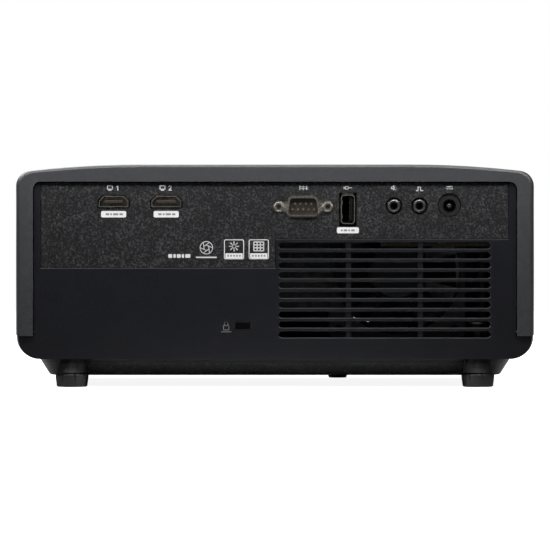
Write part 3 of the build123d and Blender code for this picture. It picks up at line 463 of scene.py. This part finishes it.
# Trims each corner of an outline to a short curve
def easedCorners(points, reach, steps=4):
    eased = []
    for index, (x, z) in enumerate(points):
        before = Vector(points[index - 1]) - Vector((x, z))
        after = Vector(points[(index + 1) % len(points)]) - Vector((x, z))
        start = Vector((x, z)) + before.normalized() * reach
        end = Vector((x, z)) + after.normalized() * reach
        for step in range(steps + 1):
            t = step / steps
            point = start * (1 - t) ** 2 + Vector((x, z)) * 2 * t * (1 - t) + end * t ** 2
            eased.append((point.x, point.y))
    return eased


# A painted line with round ends, a hair proud of the face at y
def stroke(shape, points, width, y, lift=0.04):
    for first, second in zip(points, points[1:]):
        along = (Vector(second) - Vector(first)).normalized() * width / 2
        side = Vector((-along.y, along.x))
        ends = [Vector(first) + side, Vector(second) + side, Vector(second) - side, Vector(first) - side]
        slab(shape, [tuple(end) for end in ends], y - lift, y)
    for x, z in points:
        slab(shape, circle(x, z, width / 2, 8), y - lift, y)


def drawIcon(shape, lines, x, z, size, width, y, lift=0.04):
    for line in lines:
        stroke(shape, [(x + px * size, z + pz * size) for px, pz in line], width, y, lift)


# Lays what is drawn about the origin flat on the top, at x, y and z
def laidOnTop(shape, x, y, z):
    turn = Matrix.Translation((x * mm, y * mm, z * mm)) @ Matrix.Rotation(-pi / 2, 4, "X")
    bmesh.ops.transform(shape, matrix=turn, verts=shape.verts)


# Plain signs, each a few lines in a square from -1 to 1
signs = {
    "screen": [[(-1, -0.5), (1, -0.5), (1, 0.9), (-1, 0.9), (-1, -0.5)], [(-0.5, -0.95), (0.5, -0.95)]],
    "one": [[(-0.35, 0.55), (0.1, 0.9), (0.1, -0.9)]],
    "two": [[(-0.5, 0.55), (-0.2, 0.9), (0.25, 0.9), (0.5, 0.5), (0.35, 0.05), (-0.5, -0.9), (0.55, -0.9)]],
    "dataLine": [[(-1.3, -0.8), (-1.3, 0.8)], arc(-0.65, 0, 0.42, 0, 360), [(0, -0.8), (0, 0.8)],
                 arc(0.65, 0, 0.42, 0, 360), [(1.3, -0.8), (1.3, 0.8)]],
    "plug": [[(-0.9, -0.45), (0, -0.45), (0.35, 0), (0, 0.45), (-0.9, 0.45), (-0.9, -0.45)],
             [(-1.4, 0.2), (-0.9, 0.2)], [(-1.4, -0.2), (-0.9, -0.2)], [(0.35, 0), (1.3, 0)]],
    "loudspeaker": [[(-1, -0.3), (-0.5, -0.3), (0, -0.8), (0, 0.8), (-0.5, 0.3), (-1, 0.3), (-1, -0.3)],
                    arc(-0.1, 0, 0.6, -45, 45), arc(-0.1, 0, 1.05, -45, 45)],
    "pulse": [[(-1.2, -0.6), (-0.5, -0.6), (-0.5, 0.7), (0.4, 0.7), (0.4, -0.6), (1.2, -0.6)]],
    "directCurrent": [[(-1, 0.35), (1, 0.35)], [(-1, -0.35), (-0.6, -0.35)], [(-0.2, -0.35), (0.2, -0.35)],
                      [(0.6, -0.35), (1, -0.35)]],
    "padlock": [[(-0.65, -1), (0.65, -1), (0.65, 0.05), (-0.65, 0.05), (-0.65, -1)],
                [(-0.4, 0.05)] + arc(0, 0.55, 0.4, 180, 0) + [(0.4, 0.05)]],
    "sun": [arc(0, 0, 0.38, 0, 360)] + [[(0.62 * cos(radians(45 * k)), 0.62 * sin(radians(45 * k))),
                                       (0.95 * cos(radians(45 * k)), 0.95 * sin(radians(45 * k)))]
                                      for k in range(8)],
    "grid": [[(-1, k), (1, k)] for k in (-0.9, -0.3, 0.3, 0.9)]
            + [[(k, -0.9), (k, 0.9)] for k in (-1, -0.33, 0.33, 1)],
    "power": [arc(0, 0, 0.8, 125, 415, 16), [(0, 0.15), (0, 1)]],
    "arrow": [[(-0.6, -0.3), (0, 0.4), (0.6, -0.3)]],
}


printWhite = mouldedPlastic("printWhite", (0.60, 0.60, 0.60), (0.75, 0.75, 0.75), 0.5, 1800.0, 0.2,
                            flecks=0.6, wearAndSheen=0.1)
labelWhite = mouldedPlastic("labelWhite", (0.68, 0.68, 0.67), (0.8, 0.8, 0.8), 0.35, 1500.0, 0.1, wearAndSheen=0.05)
labelGrey = mouldedPlastic("labelGrey", (0.20, 0.20, 0.20), (0.3, 0.3, 0.3), 0.45, 1500.0, 0.1, wearAndSheen=0.05)
insulator = mouldedPlastic("insulatorBrown", (0.020, 0.014, 0.009), (0.06, 0.04, 0.03), 0.45, 1200.0, 0.3,
                           flecks=0.3)
# Near-black dull plastic for the tongues, the inlet sleeve and the hood seal; inside the socket shells and
# the jack screws' holes it is painted shade
blackPlasticAndShade = mouldedPlastic("blackPlasticAndShade", (0.003, 0.003, 0.003), (0.006, 0.006, 0.006), 0.7, 900.0, 0.1,
                             specular=0.1)
gilt = workedMetal("giltContact", (0.80, 0.62, 0.30), (0.45, 0.32, 0.14), 0.3, bump=0.05)
darkChrome = workedMetal("darkChrome", (0.42, 0.42, 0.44), (0.25, 0.25, 0.26), 0.25, bump=0.04)


# The moulded edges of the case and the rims of the sockets catch the light; widths in millimetres
edgeWidths = {
    "io_plate": 0.3, "bottom_case": 0.3,
    "serial_connector": 0.18, "video_sockets": 0.12, "power_out_socket": 0.12,
    "serial_jack_screws": 0.25, "audio_jacks": 0.15, "dc_inlet": 0.15, "front_grille": 0.25,
}
for name, width in edgeWidths.items():
    soften(cadNodes[name], width)
print("edges softened")


# Video sockets: a near-black sleeve inside each shell as painted shade, the tongue and its row of contacts
videoSocket = {
    "centres": (-82.3, -55.5), "z": 94.8, "mouth": -105.45, "floor": -96.3,
    "shadeSleeve": (0.42, 0.62), "backing": 0.4,        # insets of its two faces, and the closed end's thickness
    "tongue": (9.9, 1.5, -105.2), "contacts": 10, "contactWidth": 0.45, "contactDepths": (0.3, 6),
}


def videoOutline(x, z, inset):
    half, low, high, shoulder = 7.5 - inset, -2.8 + inset, 2.8 - inset, 4.95 - inset * 0.41
    return [(x - half, z + low), (x + half, z + low), (x + half, z + 0.3 - inset * 0.41),
            (x + shoulder, z + high), (x - shoulder, z + high), (x - half, z + 0.3 - inset * 0.41)]


def videoSocketShade():
    shadeSleeve, tongues, contacts = bmesh.new(), bmesh.new(), bmesh.new()
    z, mouth, floor = videoSocket["z"], videoSocket["mouth"], videoSocket["floor"]
    width, height, tip = videoSocket["tongue"]
    outer, inner = videoSocket["shadeSleeve"]
    first, last = videoSocket["contactDepths"]
    for x in videoSocket["centres"]:
        # Near-black sleeve and closed end inside the shell: painted shade
        sleeve(shadeSleeve, videoOutline(x, z, outer), videoOutline(x, z, inner), mouth, floor)
        slab(shadeSleeve, videoOutline(x, z, inner), floor - videoSocket["backing"], floor)
        slab(tongues, roundedBox(x, z - 0.05, width, height, 0.2), tip, floor)
        pitch = (width - 1.0) / (videoSocket["contacts"] - 1)
        for step in range(videoSocket["contacts"]):
            across = x - (width - 1.0) / 2 + pitch * step
            outline = roundedBox(across, z + 0.74, videoSocket["contactWidth"], 0.16, 0.05)
            slab(contacts, outline, tip + first, tip + last)
    meshPiece("videoSocketShade", shadeSleeve, blackPlasticAndShade)
    soften(meshPiece("videoTongues", tongues, insulator), 0.15)
    meshPiece("videoContacts", contacts, gilt)


videoSocketShade()
print("video sockets shaded")


# Serial connector: the insulator's face and a rim round each pin
serialSocket = {
    "x": 14.4, "z": 92.2, "face": -104.9, "back": -104.3, "pinPitch": 2.77, "rowHeight": 1.42,
    "flange": (-104.6, -104.1), "screwReach": 12.495, "threadTurns": 8, "holeDepths": (5.4, 5.8),
}


def serialInsulator():
    x, z = serialSocket["x"], serialSocket["z"]
    points = [(x - 7.9, z - 4.25), (x + 7.9, z - 4.25), (x + 6.5, z + 4.25), (x - 6.5, z + 4.25)]
    shape, rims = bmesh.new(), bmesh.new()
    slab(shape, easedCorners(points, 1.7), serialSocket["face"], serialSocket["back"])
    for count, side in ((4, 1), (5, -1)):
        for step in range(count):
            across = x + serialSocket["pinPitch"] * (step - (count - 1) / 2)
            up = z + side * serialSocket["rowHeight"]
            profile = [(0.52, -105.1), (0.85, -105.1), (0.95, -104.9), (0.52, -104.9)]
            turned(rims, profile, across, up, sides=20)
    soften(meshPiece("serialInsulator", shape, insulator), 0.1)
    meshPiece("serialPinRims", rims, insulator)


# Bright strips of the serial flange that slope from the shell to the jack screws
def serialFlangeArms():
    x, z = serialSocket["x"], serialSocket["z"]
    shape = bmesh.new()
    for side in (-1, 1):
        points = [(x + side * 8.3, z + 3.4), (x + side * 9.9, z + 2.2), (x + side * 10.3, z - 2.4),
                  (x + side * 9.2, z - 3.3), (x + side * 8.9, z)]
        slab(shape, easedCorners(points[::side], 0.4), *serialSocket["flange"])
    soften(meshPiece("serialFlangeArms", shape, nickel), 0.15)


# Threaded holes of the jack screws, painted near-black inside as painted shade, and closed behind
def jackScrewThreads():
    shape = bmesh.new()
    hole, root, pitch, mouth = 1.19, 1.02, 0.64, -107.35
    closed, end = serialSocket["holeDepths"]
    for side in (-1, 1):
        profile = [(hole, mouth)]
        for turn in range(serialSocket["threadTurns"]):
            y = mouth + pitch * turn
            profile += [(root, y + 0.2), (hole - 0.03, y + 0.5)]
        profile += [(0.02, mouth + closed), (0.02, mouth + end), (hole, mouth + end)]
        across = serialSocket["x"] + side * serialSocket["screwReach"]
        turned(shape, profile, across, serialSocket["z"], sides=32)
    # Near-black threads in the holes: painted shade
    meshPiece("jackScrewThreads", shape, blackPlasticAndShade)


serialInsulator()
serialFlangeArms()
jackScrewThreads()
print("serial connector finished")


# Power-out socket: a near-black sleeve inside the shell as painted shade, the tongue with four contacts and
# the shell's spring fingers
powerSocket = {
    "x": 37.2, "z": 90.8, "size": (7.1, 14.8), "corner": 1.1, "mouth": -105.3, "floor": -93.3,
    "shadeSleeve": (0.42, 0.6), "backing": 0.4,
    "tongue": (1.8, 11.8, 1.6, -105.1), "contacts": (-3.5, -1.0, 1.0, 3.5), "contactDepths": (0.6, 8),
    "fingers": (-3.6, 3.6), "fingerInset": 2.75, "fingerDepths": (0.8, 7),
}


def powerOutline(inset):
    x, z = powerSocket["x"], powerSocket["z"]
    width, height = powerSocket["size"]
    half, tall, cut = width / 2 - inset, height / 2 - inset, powerSocket["corner"] - inset * 0.41
    return [(x - half, z - tall + cut), (x - half + cut, z - tall), (x + half - cut, z - tall),
            (x + half, z - tall + cut), (x + half, z + tall - cut), (x + half - cut, z + tall),
            (x - half + cut, z + tall), (x - half, z + tall - cut)]


def powerSocketShade():
    shadeSleeve, tongue, contacts, fingers = bmesh.new(), bmesh.new(), bmesh.new(), bmesh.new()
    mouth, floor = powerSocket["mouth"], powerSocket["floor"]
    width, height, shift, tip = powerSocket["tongue"]
    outer, inner = powerSocket["shadeSleeve"]
    # Near-black sleeve and closed end inside the shell: painted shade
    sleeve(shadeSleeve, powerOutline(outer), powerOutline(inner), mouth, floor)
    slab(shadeSleeve, powerOutline(inner), floor - powerSocket["backing"], floor)
    x, z = powerSocket["x"] + shift, powerSocket["z"]
    slab(tongue, roundedBox(x, z, width, height, 0.25), tip, floor)
    first, last = powerSocket["contactDepths"]
    for up in powerSocket["contacts"]:
        outline = roundedBox(x - width / 2 - 0.03, z + up, 0.12, 1.0, 0.04)
        slab(contacts, outline, tip + first, tip + last)
    first, last = powerSocket["fingerDepths"]
    for up in powerSocket["fingers"]:
        outline = roundedBox(powerSocket["x"] - powerSocket["fingerInset"], z + up, 0.3, 1.8, 0.1)
        slab(fingers, outline, mouth + first, mouth + last)
    meshPiece("powerSocketShade", shadeSleeve, blackPlasticAndShade)
    soften(meshPiece("powerTongue", tongue, blackPlasticAndShade), 0.15)
    meshPiece("powerContacts", contacts, gilt)
    soften(meshPiece("powerFingers", fingers, nickel), 0.08)


powerSocketShade()
print("power-out socket shaded")


# Round jacks: a bright-edged collar on each barrel; the DC inlet: a sleeve and its pin
jackCollar = {"centres": (60.7, 73.7), "z": 92.6, "outer": 3.35, "inner": 1.85, "face": -105.95}
inletParts = {"x": 89.0, "z": 92.7, "sleeve": (3.45, 2.95), "pin": 1.27}


def jackCollars():
    shape = bmesh.new()
    outer, inner, face = jackCollar["outer"], jackCollar["inner"], jackCollar["face"]
    profile = [(outer, face + 0.75), (outer - 0.1, face + 0.3), (outer - 0.45, face + 0.04),
               (inner + 0.55, face), (inner + 0.12, face + 0.2), (inner, face + 0.6), (inner, face + 3.0),
               (inner + 0.3, face + 3.0), (inner + 0.3, face + 0.75)]
    for x in jackCollar["centres"]:
        turned(shape, profile, x, jackCollar["z"], sides=72)
    meshPiece("jackCollars", shape, darkChrome)


def inletSleeve():
    shape, pin = bmesh.new(), bmesh.new()
    outer, inner = inletParts["sleeve"]
    x, z, radius = inletParts["x"], inletParts["z"], inletParts["pin"]
    profile = [(outer, -104.5), (outer - 0.2, -104.72), (inner + 0.12, -104.72), (inner, -104.5),
               (inner, -95), (outer, -95)]
    turned(shape, profile, x, z, sides=72)
    tip = [(radius, -96), (radius, -103.1), (radius - 0.4, -103.55), (0.35, -103.65), (0.3, -102.5),
           (0.02, -102.4), (0.02, -96)]
    turned(pin, tip, x, z, sides=40)
    meshPiece("inletSleeve", shape, blackPlasticAndShade)
    meshPiece("inletPin", pin, darkChrome)


jackCollars()
inletSleeve()
print("jacks and inlet finished")


# White labels and signs printed on the connector plate, with plain signs in place of words
plateFace = -105.7
labels = {
    "firstVideoLabel": (-82.3, 88.3, 12.8, 3.3),
    "secondVideoLabel": (-55.5, 88.3, 12.8, 3.3),
    "powerLabel": (37.2, 80.1, 11.2, 3.1),
}
labelRows = {"firstVideoLabel": (2, 1, 3, 2), "secondVideoLabel": (2, 1, 3, 2), "powerLabel": (1, 2, 1, 2)}
printedSigns = {      # sign, x, z, half size, line width
    "firstVideoSign": [("screen", -84.2, 101.7, 1.25, 0.42), ("one", -80.3, 101.7, 1.25, 0.5)],
    "secondVideoSign": [("screen", -57.4, 101.7, 1.25, 0.42), ("two", -53.5, 101.7, 1.25, 0.5)],
    "serialSign": [("dataLine", 14.4, 101.9, 1.35, 0.42)],
    "powerSign": [("plug", 37.2, 101.8, 1.5, 0.42)],
    "audioSign": [("loudspeaker", 60.7, 101.8, 1.35, 0.42)],
    "triggerSign": [("pulse", 73.7, 101.2, 1.45, 0.42)],
    "inletSign": [("directCurrent", 89.0, 101.8, 1.5, 0.48)],
}


def printedLabels():
    for name, (x, z, width, height) in labels.items():
        shape, marks = bmesh.new(), bmesh.new()
        slab(shape, roundedBox(x, z, width, height, 0.75), plateFace - 0.06, plateFace + 0.02)
        soften(meshPiece(name, shape, labelWhite), 0.03, segments=1)
        across = x - width * 0.32
        for length in labelRows[name]:
            outline = roundedBox(across + length * 0.45, z, length * 0.9, 1.0, 0.3)
            slab(marks, outline, plateFace - 0.08, plateFace - 0.05)
            across += length * 0.9 + 0.55
        meshPiece(name + "Marks", marks, labelGrey)


def printedRow():
    for name, group in printedSigns.items():
        shape = bmesh.new()
        for sign, x, z, size, width in group:
            drawIcon(shape, signs[sign], x, z, size, width, plateFace)
        meshPiece(name, shape, printWhite)


printedLabels()
printedRow()


# Badges low on the plate, all of them plain: dashes, a shutter in a ring, and two framed signs
badges = {
    "z": 70.4, "frame": (10.2, 10.1),
    "frames": {"brightBadge": (-20.9, "sun"), "pixelBadge": (-8.3, "grid")},
}


def framedBadge(name, x, sign):
    width, height = badges["frame"]
    z = badges["z"]
    shape, strip = bmesh.new(), bmesh.new()
    outer = roundedBox(x, z, width, height, 0.9)
    sleeve(shape, outer, roundedBox(x, z, width - 0.8, height - 0.8, 0.6), plateFace - 0.05, plateFace)
    drawIcon(shape, signs[sign], x, z + 1.5, 2.5, 0.55, plateFace)
    slab(strip, roundedBox(x, z - 3.3, width - 1.4, 2.6, 0.4), plateFace - 0.05, plateFace)
    meshPiece(name, shape, printWhite)
    meshPiece(name + "Strip", strip, labelWhite)
    marks = bmesh.new()
    for step in range(5):
        across = x - 3.0 + 1.5 * step
        slab(marks, roundedBox(across, z - 3.3, 0.9, 0.9, 0.2), plateFace - 0.07, plateFace - 0.04)
    meshPiece(name + "Marks", marks, labelGrey)


def shutterBadge():
    shape = bmesh.new()
    x, z = -35.0, 71.2
    stroke(shape, arc(x, z, 3.2, 0, 360, 24), 0.42, plateFace)
    for step in range(6):
        first, second = radians(60 * step), radians(60 * step + 100)
        rim = (x + 3.1 * cos(first), z + 3.1 * sin(first))
        tip = (x + 1.5 * cos(second), z + 1.5 * sin(second))
        stroke(shape, [rim, tip], 0.36, plateFace)
    slab(shape, roundedBox(x, 66.3, 10.6, 0.7, 0.3), plateFace - 0.05, plateFace)
    meshPiece("shutterBadge", shape, printWhite)


def dashBadge():
    shape = bmesh.new()
    across = -54.4
    for length in (2.0, 1.2, 2.0, 1.2, 2.6):
        slab(shape, roundedBox(across + length / 2, 67.0, length, 1.9, 0.4), plateFace - 0.05, plateFace)
        across += length + 0.55
    meshPiece("dashBadge", shape, printWhite)


def lockSign():
    shape = bmesh.new()
    drawIcon(shape, signs["padlock"], -24.9, 31.4, 2.1, 0.34, -106.0, lift=0.03)
    stroke(shape, [(-27.4, 28.3), (-22.4, 28.3)], 0.3, -106.0, 0.03)
    meshPiece("lockSign", shape, labelGrey)


for name, (x, sign) in badges["frames"].items():
    framedBadge(name, x, sign)
shutterBadge()
dashBadge()
lockSign()
print("labels, signs and badges printed")


# Keypad: signs on the keys and a small lamp in each status hole
keypad = {
    "nav": (-66.0, -40.0), "reach": 11.6, "keyTop": 114.2, "plateTop": 113.5, "power": (-98.0, -48.0),
    "lamps": (-38.0, -32.0, -26.0), "lampRadius": 0.95,
}
lampGlass = clearGlass("lampGlass", (0.75, 0.85, 0.8), roughness=0.25)


def keySigns():
    x, y = keypad["nav"]
    reach = keypad["reach"]
    for name, turn in (("right_key", -90), ("up_key", 0), ("left_key", 90), ("down_key", 180)):
        shape = bmesh.new()
        drawIcon(shape, signs["arrow"], 0, 0, 1.7, 0.45, 0, 0.03)
        spin = Matrix.Rotation(radians(-turn), 4, "Y")
        bmesh.ops.transform(shape, matrix=spin, verts=shape.verts)
        angle = radians(90 + turn)
        laidOnTop(shape, x + reach * cos(angle), y + reach * sin(angle), keypad["keyTop"])
        meshPiece(name.replace("_key", "Arrow"), shape, printWhite, body=name)
    shape = bmesh.new()
    stroke(shape, arc(0, 0, 2.2, 0, 360, 28), 0.4, 0, 0.03)
    laidOnTop(shape, x, y, keypad["keyTop"])
    meshPiece("enterRing", shape, printWhite, body="enter_key")
    shape = bmesh.new()
    drawIcon(shape, signs["power"], 0, 0, 2.0, 0.4, 0, 0.03)
    laidOnTop(shape, *keypad["power"], keypad["keyTop"])
    meshPiece("powerKeySign", shape, printWhite, body="power_key")


def statusLamps():
    shape, marks = bmesh.new(), bmesh.new()
    radius, top = keypad["lampRadius"], keypad["plateTop"]
    for y in keypad["lamps"]:
        dome = [(0.02, 0.0), (radius * 0.6, 0.05), (radius, 0.3), (radius, 3.0), (0.02, 3.0)]
        part = bmesh.new()
        turned(part, dome, 0, 0, sides=24)
        laidOnTop(part, keypad["power"][0], y, top - 0.05)
        copy = bpy.data.meshes.new("lampCopy")
        part.to_mesh(copy)
        shape.from_mesh(copy)
        bpy.data.meshes.remove(copy)
        part.free()
    for sign, y in (("sun", -38.0), ("padlock", -32.0), ("loudspeaker", -26.0)):
        drawIcon(marks, signs[sign], keypad["power"][0] + 5, y, 1.0, 0.22, 0, 0.03)
    laidOnTop(marks, 0, 0, top)
    meshPiece("statusLamps", shape, lampGlass)
    meshPiece("statusSigns", marks, printWhite)


keySigns()
statusLamps()
print("keypad signs and lamps ready")


# Lens mouth: a thin seal in the gap between the hood and the collar
lens = {"x": 58.0, "z": 64.0, "seal": (33.06, 33.36, 96.6, 98.0)}


def lensMouth():
    seal = bmesh.new()
    x, z = lens["x"], lens["z"]
    inner, outer, back, front = lens["seal"]
    turned(seal, [(inner, back), (outer, back), (outer, front), (inner, front)], x, z, sides=128)
    meshPiece("hoodSeal", seal, blackPlasticAndShade)


lensMouth()
print("lens mouth finished")



# Stage: a pale floor, soft boxes and the camera behind the projector, level with its middle
studio = {
    "camera": (0.0, -2.054, 0.0573),
    "lens": 250.0,
    "floorSize": 8.0,
    "floorGlow": 0.9,
    "floorPool": (0.13, 0.18, 0.8),
    "skyLow": 0.01,
    "skyHigh": 0.5,
    "boxes": {
        "stripBox": dict(place=(0.0, -0.2, 0.2), aim=(0.0, -0.11, 0.04), size=(0.5, 0.04), power=0.8),
        "backBox": dict(place=(0.0, -1.2, 1.0), aim=(0.0, -0.1, 0.06), size=(1.6, 0.5), power=0.6),
        "eyeBox": dict(place=(0.0, -2.3, 0.85), aim=(0.0, -0.1, 0.06), size=(0.8, 0.3), power=0.8),
        "topBox": dict(place=(0.0, 0.15, 1.3), aim=(0.0, 0.0, 0.1), size=(1.6, 1.0), power=14.0),
        "leftBox": dict(place=(-1.1, 0.1, 1.0), aim=(0.0, 0.0, 0.08), size=(0.7, 0.7), power=6.0),
        "rightBox": dict(place=(1.1, 0.1, 1.0), aim=(0.0, 0.0, 0.08), size=(0.7, 0.7), power=6.0),
        "frontBox": dict(place=(-0.6, 1.6, 0.9), aim=(0.0, 0.0, 0.06), size=(1.2, 0.7), power=11.0),
    },
}


def aimed(thing, place, aim):
    thing.location = place
    thing.rotation_euler = (Vector(aim) - Vector(place)).to_track_quat("-Z", "Y").to_euler()


def softBox(name, place, aim, size, power):
    data = bpy.data.lights.new(name, "AREA")
    data.shape = "RECTANGLE"
    data.size, data.size_y = size
    data.energy = power
    lamp = bpy.data.objects.new(name, data)
    lamp.visible_camera = False
    bpy.context.scene.collection.objects.link(lamp)
    aimed(lamp, place, aim)


# White to the eye, but a dim room with a brighter ceiling to the surfaces
def paleRoom():
    world = bpy.data.worlds.new("paleRoom")
    world.use_nodes = True
    tree = world.node_tree
    seen = tree.nodes["Background"]
    seen.inputs["Color"].default_value = (1.0, 1.0, 1.0, 1.0)
    felt = addNode(tree, "Background", 0, -200)
    place = addNode(tree, "TexCoord", -800, -200)
    split = addNode(tree, "SeparateXYZ", -600, -200)
    wire(tree, place, "Generated", split, "Vector")
    rise = addNode(tree, "MapRange", -400, -200, interpolation_type="SMOOTHSTEP",
                   **{"From Min": 0.1, "To Min": studio["skyLow"], "To Max": studio["skyHigh"]})
    wire(tree, split, "Z", rise, "Value")
    wire(tree, rise, "Result", felt, "Strength")
    sight = addNode(tree, "LightPath", -400, 200)
    choice = addNode(tree, "MixShader", 200, 0)
    wire(tree, sight, "Is Camera Ray", choice, "Fac")
    tree.links.new(felt.outputs[0], choice.inputs[1])
    tree.links.new(seen.outputs[0], choice.inputs[2])
    tree.links.new(choice.outputs[0], tree.nodes["World Output"].inputs["Surface"])
    bpy.context.scene.world = world


# Pale to the eye, with the object's shadow
# To the surfaces above it, a pale pool that turns dull further out
def paleFloor():
    material, tree, shader, place = newMaterial("paleFloor", 0.7, specular=0.2)
    shader.inputs["Emission Color"].default_value = (1.0, 1.0, 1.0, 1.0)
    shader.inputs["Emission Strength"].default_value = studio["floorGlow"]
    drift = groupNode(tree, driftGroup, place, -850, 0, Size=3.0)
    toned = blendColour(tree, drift, "Tone", (0.88, 0.88, 0.88), (0.92, 0.92, 0.92), -480, 100)
    tree.links.new(toned, shader.inputs["Base Color"])
    near, far, pale = studio["floorPool"]
    reach = addNode(tree, "VectorMath", -600, -500, operation="LENGTH")
    wire(tree, place, "Object", reach, "Vector")
    pool = addNode(tree, "MapRange", -400, -500, interpolation_type="SMOOTHSTEP",
                   **{"From Min": near, "From Max": far, "To Min": pale, "To Max": 0.12})
    wire(tree, reach, "Value", pool, "Value")
    dull = addNode(tree, "BsdfDiffuse", 0, -500)
    wire(tree, pool, "Result", dull, "Color")
    sight = addNode(tree, "LightPath", 0, 300)
    choice = addNode(tree, "MixShader", 400, 0)
    wire(tree, sight, "Is Camera Ray", choice, "Fac")
    tree.links.new(dull.outputs[0], choice.inputs[1])
    tree.links.new(shader.outputs[0], choice.inputs[2])
    tree.links.new(choice.outputs[0], tree.nodes["Material Output"].inputs["Surface"])
    return material


def buildStage():
    scene = bpy.context.scene
    paleRoom()
    scene.view_settings.view_transform = "Standard"
    mesh = bpy.data.meshes.new("floor")
    half = studio["floorSize"] / 2
    corners = [(-half, -half, 0), (half, -half, 0), (half, half, 0), (-half, half, 0)]
    mesh.from_pydata(corners, [], [(0, 1, 2, 3)])
    mesh.materials.append(paleFloor())
    floor = bpy.data.objects.new("floor", mesh)
    scene.collection.objects.link(floor)
    for label, values in studio["boxes"].items():
        softBox(label, **values)
    data = bpy.data.cameras.new("camera")
    data.lens = studio["lens"]
    data.sensor_width = 36.0
    data.clip_end = 50.0
    camera = bpy.data.objects.new("camera", data)
    scene.collection.objects.link(camera)
    camera.location = studio["camera"]
    camera.rotation_euler = (pi / 2, 0, 0)
    scene.camera = camera
    print("stage, lights and camera ready")


buildStage()
